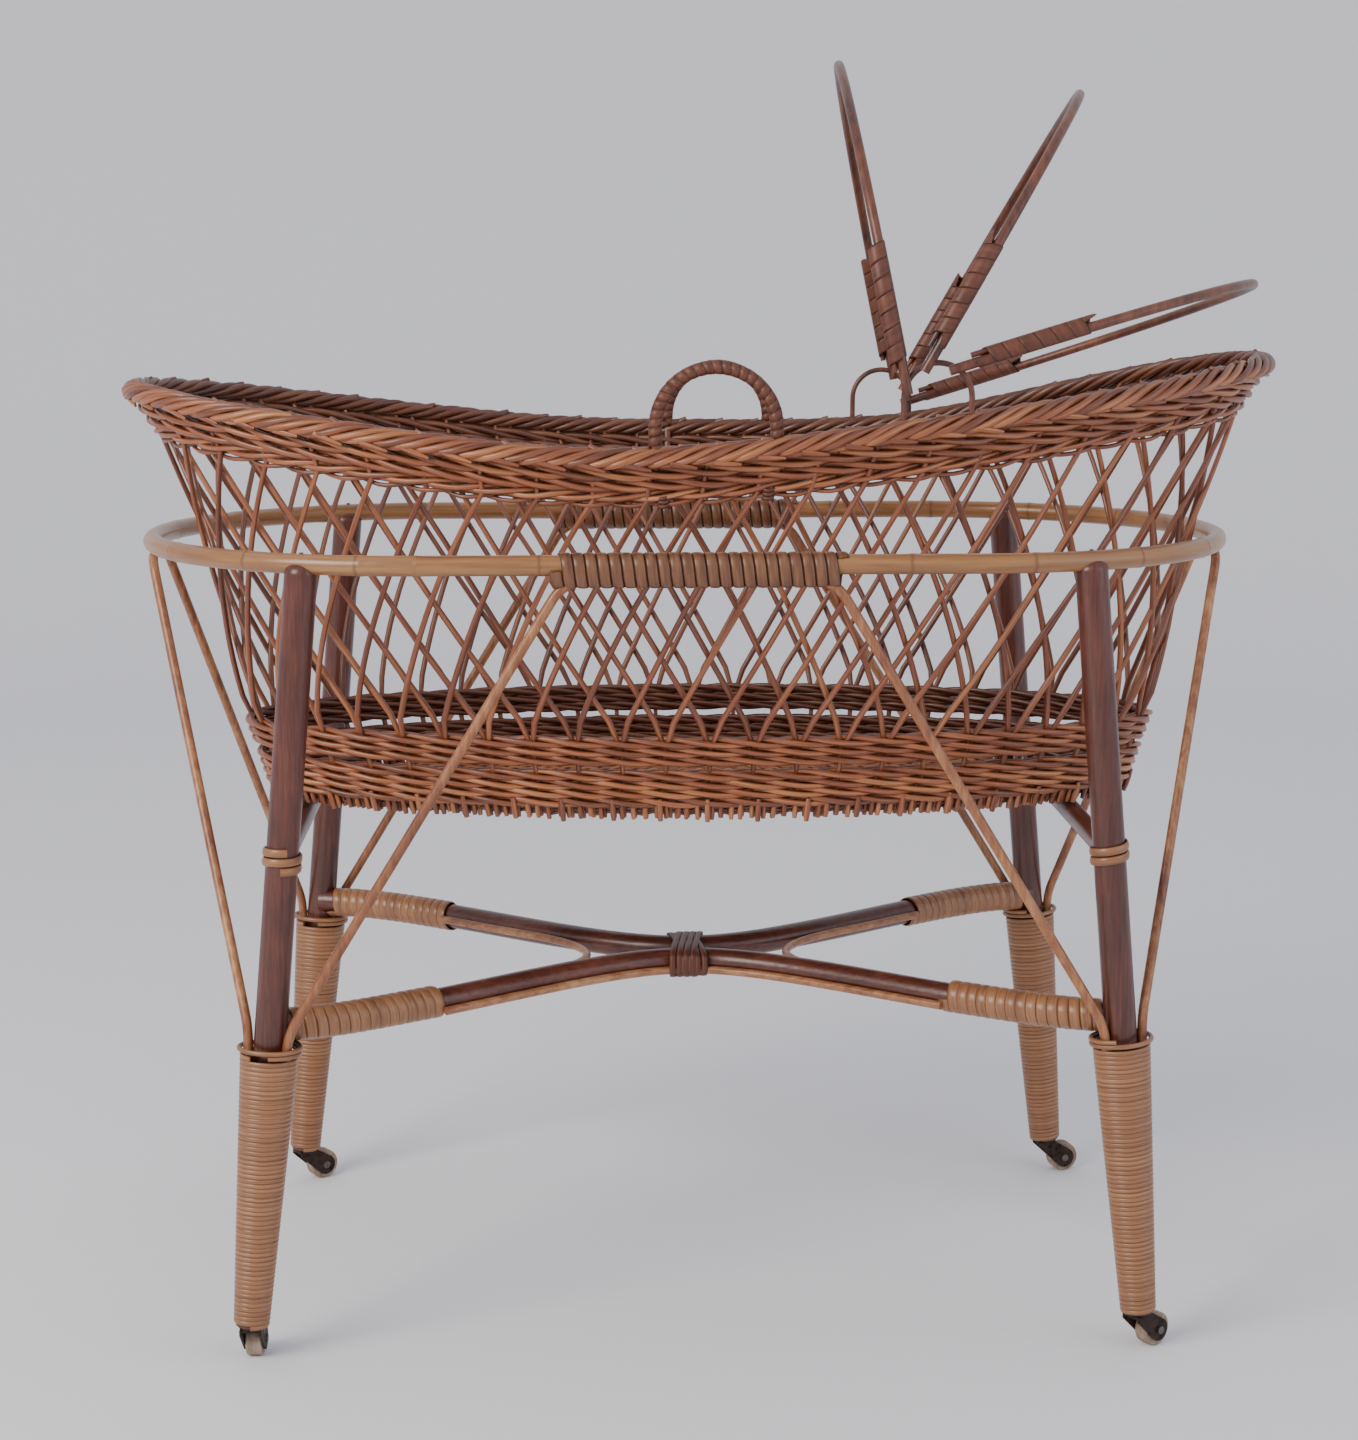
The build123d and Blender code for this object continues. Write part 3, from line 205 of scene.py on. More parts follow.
reach = vector_math(winding_tree, "ADD",
                    vector_math(winding_tree, "SCALE", spoke, scale=stored(winding_tree, "core")), extra)
wound = put(winding_tree, "GeometryNodeSetPosition", {"Geometry": kept.outputs[0], "Offset": reach})
with_skin(winding_tree, given, wound.outputs[0])

weave_tree, given = new_tree("strands woven in and out", SIZES + [
    ("Swing", "Float", 0.004), ("Lift", "Float", 0.002), ("Unevenness", "Float", 0.001),
    ("Seed", "Float", 3.0)])
row_line = put(weave_tree, "GeometryNodeMeshToCurve", {"Mesh": given["Geometry"]})
wave = math_step(weave_tree, "MULTIPLY", stored(weave_tree, "turn"), 2 * math.pi)
inout = math_step(weave_tree, "MULTIPLY", math_step(weave_tree, "COSINE", wave), given["Swing"])
updown = math_step(weave_tree, "MULTIPLY", math_step(weave_tree, "SINE", wave), given["Lift"])
path = vector_math(weave_tree, "ADD",
                   vector_math(weave_tree, "SCALE", stored(weave_tree, "out", "FLOAT_VECTOR"), scale=inout),
                   vector_math(weave_tree, "SCALE", stored(weave_tree, "rise", "FLOAT_VECTOR"),
                               scale=updown))
rough = put(weave_tree, "ShaderNodeTexNoise", {"Scale": 26.0, "Detail": 1.0, "W": given["Seed"],
                                              "Vector": put(weave_tree,
                                                            "GeometryNodeInputPosition").outputs[0]},
            noise_dimensions="4D")
astray = vector_math(weave_tree, "SUBTRACT", rough.outputs["Color"], None)
astray.node.inputs[1].default_value = (0.5, 0.5, 0.5)
path = vector_math(weave_tree, "ADD", path,
                   vector_math(weave_tree, "SCALE", astray, scale=given["Unevenness"]))
moved = put(weave_tree, "GeometryNodeSetPosition", {"Geometry": row_line.outputs[0], "Offset": path})
with_skin(weave_tree, given, moved.outputs[0])
print("trees:", [tree.name for tree in (rod_tree, winding_tree, weave_tree)])

# %% [markdown]
# The trees read plain lines. A line is a list of points with a few values on each: its outward
# direction, its girth against the named size, and whatever the tree needs. One function makes the
# lines a mesh of edges, grows the piece, and turns the result into a plain mesh at the origin,
# because a CAD node's place is in its mesh too.

# %% Lines and how a piece grows from them
CARRIED = {"out": 3, "rise": 3, "wide": 3, "girth": 1, "tone": 1, "core": 1, "turn": 1}


def strand(points, closed=False, **values):
    """One line in millimetres and what it carries."""
    line = {"points": np.asarray(points, float), "closed": closed, "tone": chance.random()}
    line.update(values)
    return line


def line_mesh(name, lines):
    """Mesh of edges with the carried values on its points."""
    places = np.vstack([line["points"] for line in lines]) * MM
    edges = []
    first = 0
    for line in lines:
        count = len(line["points"])
        edges += [(first + i, first + i + 1) for i in range(count - 1)]
        if line["closed"]:
            edges.append((first + count - 1, first))
        first += count
    mesh = bpy.data.meshes.new(name)
    mesh.from_pydata(places.tolist(), edges, [])
    for key, width in CARRIED.items():
        default = {"out": (0, 0, 1), "rise": (0, 0, 1), "wide": (0, 0, 0), "girth": 1.0}.get(key, 0.0)
        blocks = []
        for line in lines:
            value = np.asarray(line.get(key, default), float)
            shape = (len(line["points"]), width)
            blocks.append(np.broadcast_to(value.reshape(-1, width) if value.size > width or value.ndim == 2
                                          else value.reshape(-1, width if value.size == width else 1),
                                          shape))
        kind = "FLOAT_VECTOR" if width == 3 else "FLOAT"
        attribute = mesh.attributes.new(key, kind, "POINT")
        attribute.data.foreach_set("vector" if width == 3 else "value",
                                   np.vstack(blocks).astype(np.float32).ravel())
    return mesh


def grow(name, tree, lines, finish, body, stands_for, slot, **sizes):
    """Runs a tree over the lines and hands the plain mesh to the frame."""
    start = bpy.data.objects.new(name + "_lines", line_mesh(name + "_lines", lines))
    bpy.context.scene.collection.objects.link(start)
    modifier = start.modifiers.new("grow", "NODES")
    modifier.node_group = tree
    sizes["Finish"] = finish
    for item in tree.interface.items_tree:
        if item.in_out == "INPUT" and item.name in sizes:
            modifier[item.identifier] = sizes[item.name]
    depsgraph = bpy.context.evaluated_depsgraph_get()
    mesh = bpy.data.meshes.new_from_object(start.evaluated_get(depsgraph))
    start.modifiers.remove(modifier)
    bpy.data.objects.remove(start)
    piece = bpy.data.objects.new(name, mesh)
    bpy.context.scene.collection.objects.link(piece)
    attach(piece, body)
    if stands_for:
        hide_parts(*stands_for)
    print(name, len(lines), "lines,", sum(len(p.vertices) - 2 for p in mesh.polygons), "triangles")
    return piece


# %% [markdown]
# ## Finishes for strands
# Peeled willow is boiled to a buff brown, woven damp and varnished. Up close each rod has
# long pale and dark streaks, and no two rods match. The varnish is thin on the outer face and thick
# where it ran in between, and the side of a strand that faces in is painted darker: partly that
# varnish, partly painted shade in the recesses. The streaks follow the strand, so they are read
# from the distance along it and the direction across it.

# %% Strand finish
def strand_finish(name, deep, body_colour, pale, streak_mm=45.0, coat=0.35, rough=0.42, shade=0.75,
                  joints_mm=0.0):
    """Varnished willow or cane whose streaks follow each strand. IOR 1.5 is that of wood and varnish."""
    material = bpy.data.materials.new(name)
    material.use_nodes = True
    tree = material.node_tree
    tree.nodes.clear()
    carried = {label: put(tree, "ShaderNodeAttribute", attribute_name=label,
                          attribute_type="GEOMETRY").outputs
               for label in ("along", "tone", "skin")}
    length = carried["along"]["Fac"]
    tone = carried["tone"]["Fac"]
    across = put(tree, "ShaderNodeSeparateXYZ", {0: carried["skin"]["Vector"]}).outputs
    # Streaks a few centimetres long and about a third of the rod wide.
    stretched = put(tree, "ShaderNodeCombineXYZ", {
        "X": math_step(tree, "MULTIPLY", length, 1000.0 / streak_mm),
        "Y": math_step(tree, "MULTIPLY_ADD", across["X"], 1.3),
        "Z": math_step(tree, "MULTIPLY", across["Y"], 1.3)})
    shift = stretched.inputs["Y"].links[0].from_node
    tree.links.new(math_step(tree, "MULTIPLY", tone, 91.0), shift.inputs[2])
    streak = put(tree, "ShaderNodeTexNoise",
                 {"Vector": stretched.outputs[0], "Scale": 1.0, "Detail": 4.0, "Roughness": 0.6})
    mixed = math_step(tree, "ADD", math_step(tree, "MULTIPLY", streak.outputs["Fac"], 0.85),
                      math_step(tree, "MULTIPLY", tone, 0.28))
    ramp = put(tree, "ShaderNodeValToRGB", {"Fac": mixed})
    ramp.color_ramp.elements[0].position = 0.22
    ramp.color_ramp.elements[0].color = linear(deep)
    ramp.color_ramp.elements[1].position = 0.92
    ramp.color_ramp.elements[1].color = linear(pale)
    ramp.color_ramp.elements.new(0.56).color = linear(body_colour)
    # The side of the strand turned toward the wall and the next strand is painted darker: the dark varnish pooled
    # there, and painted shade in the recess.
    pooled_varnish_and_shade = put(tree, "ShaderNodeMapRange", {"Value": across["X"], "From Min": -0.35, "From Max": 0.75,
                                                "To Min": 1.0 - shade, "To Max": 1.0})
    colour = put(tree, "ShaderNodeMix",
                 {0: pooled_varnish_and_shade.outputs[0], 6: linear(deep), 7: ramp.outputs["Color"]},
                 data_type="RGBA")
    shown = colour.outputs[2]
    height = streak.outputs["Fac"]
    if joints_mm:
        # Growth rings of the stem: a thin dark line with a pale edge at each one.
        lap = math_step(tree, "PINGPONG", math_step(tree, "MULTIPLY_ADD", length, 1000.0), joints_mm / 2)
        lap_in = lap.node.inputs[0].links[0].from_node
        tree.links.new(math_step(tree, "MULTIPLY", streak.outputs["Fac"], 3.0), lap_in.inputs[2])
        ring = put(tree, "ShaderNodeMapRange",
                   {"Value": lap, "From Min": 0.4, "From Max": 2.2, "To Min": 0.75, "To Max": 0.0})
        shown = put(tree, "ShaderNodeMix", {0: ring.outputs[0], 6: shown, 7: linear(deep)},
                    data_type="RGBA").outputs[2]
        height = math_step(tree, "SUBTRACT", height, ring.outputs[0])
    bump = put(tree, "ShaderNodeBump", {"Strength": 0.35, "Distance": 0.0006, "Height": height})
    gloss = put(tree, "ShaderNodeMapRange",
                {"Value": streak.outputs["Fac"], "To Min": rough - 0.08, "To Max": rough + 0.12})
    surface = put(tree, "ShaderNodeBsdfPrincipled", {
        "Base Color": shown, "Roughness": gloss.outputs[0], "Normal": bump.outputs[0], "IOR": 1.5,
        "Coat Weight": coat, "Coat Roughness": 0.22})
    put(tree, "ShaderNodeOutputMaterial", {"Surface": surface.outputs[0]})
    return material


buff_willow = strand_finish("varnished_buff_willow", "#3C190E", "#92502C", "#CC8C58")
lattice_willow = strand_finish("varnished_stake_willow", "#3C1B10", "#834526", "#B67444", streak_mm=70.0,
                               shade=0.35)
border_willow = strand_finish("varnished_border_willow", "#3C190E", "#8A4A28", "#C48450", streak_mm=60.0)
split_cane = strand_finish("wound_split_cane", "#4C2C19", "#8C5C38", "#B5855A", streak_mm=30.0, rough=0.4,
                           shade=0.8)
dark_cane = strand_finish("dark_wound_cane", "#2C130B", "#5C2E1A", "#80492E", streak_mm=30.0, coat=0.12,
                          rough=0.52,
                          shade=0.7)
leg_cane = strand_finish("wound_leg_cane", "#4A2A18", "#8E5E3A", "#BA8A5C", streak_mm=150.0, rough=0.4,
                         shade=0.5)
# The ring bindings get a darker copy of the wound cane. Its colours were matched to the bindings' shaded side, so
# part of this darkness is painted shade.
shade_darkened_ring_cane = strand_finish("ring_cane_with_painted_shade", "#2E170C", "#6B4125", "#96683F", streak_mm=30.0,
                             rough=0.4, shade=0.85)
honey_rattan = strand_finish("honey_ring_rattan", "#6E421F", "#A0703F", "#C2966A", streak_mm=110.0,
                             coat=0.5,
                             rough=0.34, shade=0.0, joints_mm=96.0)
print("strand finishes:", len(bpy.data.materials))

# %% [markdown]
# ## Finishes for poles, braces and iron
# The solid poles keep their CAD shape, and only their finish is missing. Rattan is a climbing palm:
# its pores run along the pole as fine dark dashes. The stain on this stand is red-brown and
# has worn paler in places. The pattern is read from Object coordinates, stretched along the pole.

# %% Pole finish
def pole_finish(name, deep, body_colour, pale, stretch, coat=0.5, rough=0.33):
    """Stained rattan with fine pores along it. stretch gives the pattern's size in millimetres along X, Y and Z."""
    material = bpy.data.materials.new(name)
    material.use_nodes = True
    tree = material.node_tree
    tree.nodes.clear()
    where = put(tree, "ShaderNodeTexCoord").outputs["Object"]
    grain = put(tree, "ShaderNodeMapping", {"Vector": where, "Scale": tuple(1000.0 / s for s in stretch)})
    fibre = put(tree, "ShaderNodeTexNoise",
                {"Vector": grain.outputs[0], "Scale": 1.0, "Detail": 5.0, "Roughness": 0.65})
    cloud = put(tree, "ShaderNodeTexNoise", {"Vector": where, "Scale": 14.0, "Detail": 2.0})
    both = math_step(tree, "ADD", math_step(tree, "MULTIPLY", fibre.outputs["Fac"], 0.6),
                     math_step(tree, "MULTIPLY", cloud.outputs["Fac"], 0.5))
    ramp = put(tree, "ShaderNodeValToRGB", {"Fac": both})
    ramp.color_ramp.elements[0].position = 0.36
    ramp.color_ramp.elements[0].color = linear(deep)
    ramp.color_ramp.elements[1].position = 0.74
    ramp.color_ramp.elements[1].color = linear(pale)
    ramp.color_ramp.elements.new(0.54).color = linear(body_colour)
    bump = put(tree, "ShaderNodeBump",
               {"Strength": 0.25, "Distance": 0.0005, "Height": fibre.outputs["Fac"]})
    gloss = put(tree, "ShaderNodeMapRange",
                {"Value": cloud.outputs["Fac"], "To Min": rough - 0.08, "To Max": rough + 0.14})
    surface = put(tree, "ShaderNodeBsdfPrincipled", {
        "Base Color": ramp.outputs["Color"], "Roughness": gloss.outputs[0], "Normal": bump.outputs[0],
        "IOR": 1.5,
        "Coat Weight": coat, "Coat Roughness": 0.18})
    put(tree, "ShaderNodeOutputMaterial", {"Surface": surface.outputs[0]})
    return material


red_pole = pole_finish("red_brown_rattan_pole", "#2E120C", "#4E2216", "#6C3626", (2.0, 2.0, 40.0), coat=0.3)
red_bar = pole_finish("red_brown_stretcher_bar", "#34150E", "#55271A", "#74402F", (40.0, 4.0, 2.0),
                      coat=0.3)
red_cross = pole_finish("red_brown_cradle_bar", "#2E120C", "#4E2216", "#6C3626", (2.0, 40.0, 2.0), coat=0.3)
pale_brace = pole_finish("pale_brace_rattan", "#5C2E18", "#8E5632", "#B98757", (5.0, 5.0, 40.0), coat=0.3,
                         rough=0.4)
warm_rod = pole_finish("pale_crotch_rod", "#6A3A22", "#9A6540", "#BE9066", (50.0, 5.0, 4.0), coat=0.35,
                       rough=0.4)
hoop_rod = pole_finish("brown_hoop_cane", "#34160B", "#5E2F1A", "#80492D", (5.0, 40.0, 12.0), coat=0.25,
                       rough=0.42)

# %% [markdown]
# The casters are stamped iron, browned with age, and the little wheels are hardwood whose tread
# has worn to a dull grey tan. Iron keeps the metal's default IOR. The rust is a non-metal, so the
# same noise that colours it also takes the metal away and makes it rough.

# %% Iron and wheel finishes
def iron_finish(name, bare, rust, amount):
    """Old stamped iron with a brown skin of rust in blotches of a few millimetres."""
    material = bpy.data.materials.new(name)
    material.use_nodes = True
    tree = material.node_tree
    tree.nodes.clear()
    where = put(tree, "ShaderNodeTexCoord").outputs["Object"]
    spots = put(tree, "ShaderNodeTexNoise",
                {"Vector": where, "Scale": 170.0, "Detail": 6.0, "Roughness": 0.7})
    rusted = put(tree, "ShaderNodeMapRange",
                 {"Value": spots.outputs["Fac"], "From Min": 0.62 - amount, "From Max": 0.72 - amount / 2})
    colour = put(tree, "ShaderNodeMix", {0: rusted.outputs[0], 6: linear(bare), 7: linear(rust)},
                 data_type="RGBA")
    metal = math_step(tree, "MULTIPLY_ADD", rusted.outputs[0], -0.75)
    metal.node.inputs[2].default_value = 0.9
    rough = put(tree, "ShaderNodeMapRange", {"Value": rusted.outputs[0], "To Min": 0.42, "To Max": 0.8})
    bump = put(tree, "ShaderNodeBump",
               {"Strength": 0.5, "Distance": 0.0004, "Height": spots.outputs["Fac"]})
    surface = put(tree, "ShaderNodeBsdfPrincipled", {"Base Color": colour.outputs[2], "Metallic": metal,
                                                    "Roughness": rough.outputs[0],
                                                     "Normal": bump.outputs[0]})
    put(tree, "ShaderNodeOutputMaterial", {"Surface": surface.outputs[0]})
    return material


old_iron = iron_finish("brown_stamped_iron", "#1E1815", "#38241B", 0.25)
nail_iron = iron_finish("dull_nail_steel", "#6A6460", "#453A34", 0.1)
worn_wheel = pole_finish("worn_hardwood_wheel", "#5A4838", "#8E7A66", "#B3A18C", (4.0, 4.0, 9.0),
                         coat=0.0, rough=0.6)
FINISHES = {"leg_": red_pole, "stretcher_front": red_bar, "stretcher_back": red_bar,
            "cradle_bar": red_cross,
            "side_brace": pale_brace, "end_brace": pale_brace, "crotch_rods": warm_rod,
            "ring_nails": nail_iron,
            "caster_fork": old_iron, "caster_axle": nail_iron, "caster_sockets": old_iron,
            "caster_wheel": worn_wheel, "hoop_": hoop_rod, "hood_loops": hoop_rod, "handle_core": hoop_rod}
for node_name, piece in frame["nodes"].items():
    chosen = [finish for start, finish in FINISHES.items() if node_name.startswith(start)]
    if chosen:
        piece.data.materials.clear()
        piece.data.materials.append(chosen[0])
print("CAD nodes with a finish:", sum(1 for n in frame["nodes"] if any(n.startswith(s) for s in FINISHES)))

# %% [markdown]
# ## The basket's outline
# The rim is an oval whose top edge sweeps up toward both ends, and the bands are slices of a leaning
# oval cone below it. The weave has to follow those slices, so the same few sizes as the CAD give the
# outline here: a point is a share of the way round, a drop below the edge and an inset from the face.

# %% Outline of the rim
RIM_LONG, RIM_WIDE, RIM_LOW, RIM_LOW_X, RIM_SLOPE, RIM_ROUND = 493.0, 242.0, 743.0, -80.0, 0.15, 120.0
BACK_DIP, BACK_DIP_X, BACK_DIP_REACH = 26.0, 210.0, 190.0
BAND, END_FLARE, SIDE_FLARE = 42.0, 0.645, 0.445
LOW_TOP, LOW_LONG, LOW_WIDE = 500.0, 396.0, 150.0
BASE_LONG, BASE_WIDE, BASE_BOTTOM, BASE_TOP = 377.0, 141.0, 428.3, 441.3
STAKES, STAKE_SHIFT, END_BOW, WALL_MIDDLE = 48, 2.75, 8.5, 7.8


def rim_top(x, y=-RIM_WIDE):
    """Height of the border's top edge; the back edge has sunk a little beside the hood."""
    near = RIM_LOW + RIM_SLOPE * (np.hypot(x - RIM_LOW_X, RIM_ROUND) - RIM_ROUND)
    return near - BACK_DIP * np.exp(-((x - BACK_DIP_X) / BACK_DIP_REACH) ** 2) * (y + RIM_WIDE) / (2 * RIM_WIDE)


RIM_TILT = (rim_top(RIM_LONG) - rim_top(-RIM_LONG)) / (2 * RIM_LONG)
END_HEIGHT = (rim_top(RIM_LONG) + rim_top(-RIM_LONG)) / 2
SIDE_HEIGHT = rim_top(0.0)


def cone_long(level):
    return RIM_LONG - END_FLARE * (END_HEIGHT - level)


def cone_wide(level):
    return RIM_WIDE - SIDE_FLARE * (SIDE_HEIGHT - level)


def even_angles(count, long, wide, shift=0.0):
    """Ellipse angles that are evenly spaced along the ellipse's edge."""
    fine = np.linspace(0, 2 * np.pi, 2049)
    steps = np.hypot(np.diff(long * np.cos(fine)), np.diff(wide * np.sin(fine)))
    walked = np.concatenate([[0], np.cumsum(steps)])
    wanted = ((np.arange(count) + shift) / count % 1.0) * walked[-1]
    return np.interp(wanted, walked, fine)


def rim_points(angle, drop, inset):
    """Points on the upper band, below its edge and in from its face."""
    level = SIDE_HEIGHT - drop
    for _ in range(14):
        x = (cone_long(level) - inset) * np.cos(angle)
        y = (cone_wide(level) - inset) * np.sin(angle)
        level = rim_top(x, y) - RIM_TILT * x - drop
    return np.stack([x, y, rim_top(x, y) - drop], -1)


def wall_points(angle, height, inset):
    """Points on the lower wall at one height."""
    share = (height - BASE_TOP) / (LOW_TOP - BASE_TOP)
    long = BASE_LONG + share * (LOW_LONG - BASE_LONG) - inset
    wide = BASE_WIDE + share * (LOW_WIDE - BASE_WIDE) - inset
    return np.stack([long * np.cos(angle), wide * np.sin(angle), np.full_like(angle, height)], -1)


def unit(v):
    return v / np.linalg.norm(v, axis=-1, keepdims=True)


def oval_frame(angle, long, wide, lean):
    """Outward and upward directions of a wall that leans out."""
    out = unit(np.stack([np.cos(angle) / long, np.sin(angle) / wide, np.zeros_like(angle)], -1))
    up = unit(np.concatenate([out[:, :2] * lean, np.ones((len(angle), 1))], 1))
    return unit(np.cross(np.cross(up, out), up)), up


print("rim from", round(float(rim_top(-80)), 1), "to", round(float(rim_top(RIM_LONG)), 1), "mm high")

# %% [markdown]
# ## The upper band
# Below the border are three wales: each has three rods that pass outside two stakes and
# inside one. Seen from outside a wale is a row of long strokes that lap like roof tiles, and the
# light comes through the small gaps between rows. The last row is thinner and less even.

# %% Upper band
RIM_STROKES = 64


def rim_wale(drop, inset, count, strands, steps=5, doubled=0.0, lean=0.5):
    """Strands that run right round the rim at one depth, each a share of a wave behind the last."""
    points = steps * RIM_STROKES
    angle = even_angles(points, RIM_LONG - inset, RIM_WIDE - inset)
    out, up = oval_frame(angle, RIM_LONG, RIM_WIDE, lean)
    share = np.arange(points) / points
    rows = []
    for k in range(strands):
        for double in ((-0.5, 0.5) if doubled else (0.0,)):
            turn = count * share + k / strands + double * doubled
            rows.append(strand(rim_points(angle, drop, inset), True, out=out, rise=up, turn=turn))
    return rows


upper_sizes = {"Sides": 6, "Unevenness": 2.6 * MM}
grow("upper_band_wales", weave_tree, rim_wale(20.5, 7.0, 21, 3) + rim_wale(29.5, 7.0, 21, 3), buff_willow,
     "basket",
     ["upper_weave"], "weave_willow", Thickness=5.0 * MM, Width=5.6 * MM, Swing=4.4 * MM, Lift=-3.0 * MM,
     **upper_sizes)
grow("upper_band_low_wale", weave_tree, rim_wale(38.0, 7.0, 21, 3), buff_willow, "basket",
     [], "weave_willow", Thickness=4.6 * MM, Width=4.8 * MM, Swing=4.4 * MM, Lift=2.0 * MM, **upper_sizes)
grow("upper_band_last_row", weave_tree, rim_wale(44.0, 7.0, 32, 2), buff_willow, "basket",
     [], "weave_willow", Thickness=3.4 * MM, Width=3.6 * MM, Swing=4.2 * MM, Lift=1.2 * MM, Sides=6,
     Unevenness=4.0 * MM)

# %% [markdown]
# ## The plaited border
# The stake ends are bent over and plaited into a thick cord, two rods at a time. Outside, the
# strokes climb toward the head on the near side, and inside they lean the other way, which is
# what rods running round an oval core do. Where each stake ends, a slanting cut end is left.

# %% Border
grow("border_plait", weave_tree, rim_wale(8.2, 6.8, 22, 3, steps=6, doubled=0.15), border_willow, "basket",
     ["rim_border"], "border_willow", Thickness=6.0 * MM, Width=6.4 * MM, Swing=7.6 * MM, Lift=4.9 * MM,
     Sides=8, Unevenness=2.2 * MM)


def cut_ends(count, start, end, girth, spread):
    """Short tapered stubs: start and end are (drop, inset, shift round the rim in millimetres)."""
    ends = []
    angle = even_angles(count, RIM_LONG, RIM_WIDE, 0.3)
    for a in angle + chance.normal(0, 0.004, count):
        pair = []
        for drop, inset, forward in (start, end):
            step = forward / math.hypot(RIM_LONG * math.sin(a), RIM_WIDE * math.cos(a))
            pair.append(rim_points(np.array([a + step]), drop + chance.normal(0, spread), inset)[0])
        out, _ = oval_frame(np.array([a]), RIM_LONG, RIM_WIDE, 0.4)
        line = np.linspace(pair[0], pair[1], 4)
        ends.append(strand(line, out=out[0], girth=np.array(girth)))
    return ends


stubs = cut_ends(RIM_STROKES, (13.0, -2.0, -14.0), (18.0, -4.6, 9.0), (1.0, 1.0, 0.85, 0.45), 0.8)
stubs += cut_ends(RIM_STROKES, (5.0, 9.0, 6.0), (0.6, 15.0, -8.0), (0.9, 1.0, 1.0, 0.8), 0.7)
grow("border_cut_ends", rod_tree, stubs, border_willow, "basket", [], "border_willow",
     Thickness=5.0 * MM, Width=5.4 * MM, Sides=6)

# %% [markdown]
# ## The lattice
# Between the bands the stakes stand open, in two layers that lean opposite ways. A straight cylinder
# would look drawn with a ruler, so each rod tapers toward its tip, bows a little in
# its own way and has its own tone. Both ends run on inside the bands, where they show through.

# %% Stakes
def stake_lines(lean, inset):
    """The stakes that lean one way."""
    low_a = even_angles(STAKES, LOW_LONG - inset, LOW_WIDE - inset)
    top_long, top_wide = cone_long(END_HEIGHT - BAND) - inset, cone_wide(SIDE_HEIGHT - BAND) - inset
    top_a = even_angles(STAKES, top_long, top_wide, lean * STAKE_SHIFT)
    lines = []
    for n in range(STAKES):
        a, b = low_a[n], top_a[n]
        low = np.array([(LOW_LONG - inset) * math.cos(a), (LOW_WIDE - inset) * math.sin(a), LOW_TOP])
        high = rim_points(np.array([b]), BAND, inset)[0]
        middle_a = a + math.atan2(math.sin(b - a), math.cos(b - a)) / 2
        middle_long = (LOW_LONG - inset + math.hypot(high[0], high[1] * top_long / top_wide)) / 2
        middle_long -= END_BOW * math.cos(middle_a) ** 2
        middle_wide = (LOW_WIDE - inset + math.hypot(high[1], high[0] * top_wide / top_long)) / 2
        middle = np.array([middle_long * math.cos(middle_a), middle_wide * math.sin(middle_a),
                           (low[2] + high[2]) / 2])
        bend = 2 * middle - (low + high) / 2
        t = np.linspace(0, 1, 15)[:, None]
        body = (1 - t) ** 2 * low + 2 * t * (1 - t) * bend + t ** 2 * high
        sway = np.sin(np.pi * t) * chance.normal(0, 0.8, 3) + np.sin(2 * np.pi * t) * chance.normal(0,
                                                                                                    0.7, 3)
        out, _ = oval_frame(np.array([middle_a]), LOW_LONG, LOW_WIDE, 0.4)
        # Inside a band the stake runs down the middle of the wall, thinned where it is pressed.
        feet = [wall_points(np.array([a]), height, WALL_MIDDLE)[0] for height in (450.0, 470.0, 489.0)]
        tip = rim_points(np.array([b + lean * 0.01]), 12.0, WALL_MIDDLE)[0]
        points = np.vstack([feet, body[1:-1] + sway[1:-1], high, tip])
        taper = np.concatenate([[0.7, 0.7, 0.8], np.linspace(1.04, 0.9, 14), [0.7]])
        lines.append(strand(points, out=out[0], girth=taper))
    return lines


stake_sizes = {"Thickness": 5.0 * MM, "Width": 5.0 * MM, "Sides": 8}
grow("lattice_leaning_foot", rod_tree, stake_lines(-1, 10.3), lattice_willow, "basket",
     ["stakes_leaning_foot"],
     "stake_willow", **stake_sizes)
grow("lattice_leaning_head", rod_tree, stake_lines(1, 3.7), lattice_willow, "basket",
     ["stakes_leaning_head"],
     "stake_willow", **stake_sizes)

# %% [markdown]
# ## The lower band and the base
# The lower band has the same wales, three above a narrow gap where the stakes show and four below.
# Under it the base is edged by a row of close upright nubs, with a larger turned-down end every
# four centimetres. The floor inside is woven round the oval, over and under short ribs.

# %% Lower band
def wall_wale(height, count, strands=3, steps=5, inset=7.0):
    """One wale round the lower wall."""
    points = steps * STAKES
    angle = even_angles(points, LOW_LONG - inset, LOW_WIDE - inset)
    out, up = oval_frame(angle, LOW_LONG, LOW_WIDE, 0.2)
    place = wall_points(angle, height, inset)
    return [strand(place, True, out=out, rise=up, turn=count * np.arange(points) / points + k / strands)
            for k in range(strands)]


upper_rows = wall_wale(496.5, 16) + wall_wale(489.0, 16) + wall_wale(481.5, 16)
lower_rows = wall_wale(468.5, 16) + wall_wale(461.0, 16) + wall_wale(453.5, 16) + wall_wale(446.0, 16)
grow("lower_band_wales", weave_tree, upper_rows + lower_rows, buff_willow, "basket", ["lower_weave"],
     "weave_willow",
     Thickness=5.0 * MM, Width=5.0 * MM, Swing=4.6 * MM, Lift=-2.6 * MM, Sides=6, Unevenness=1.8 * MM)


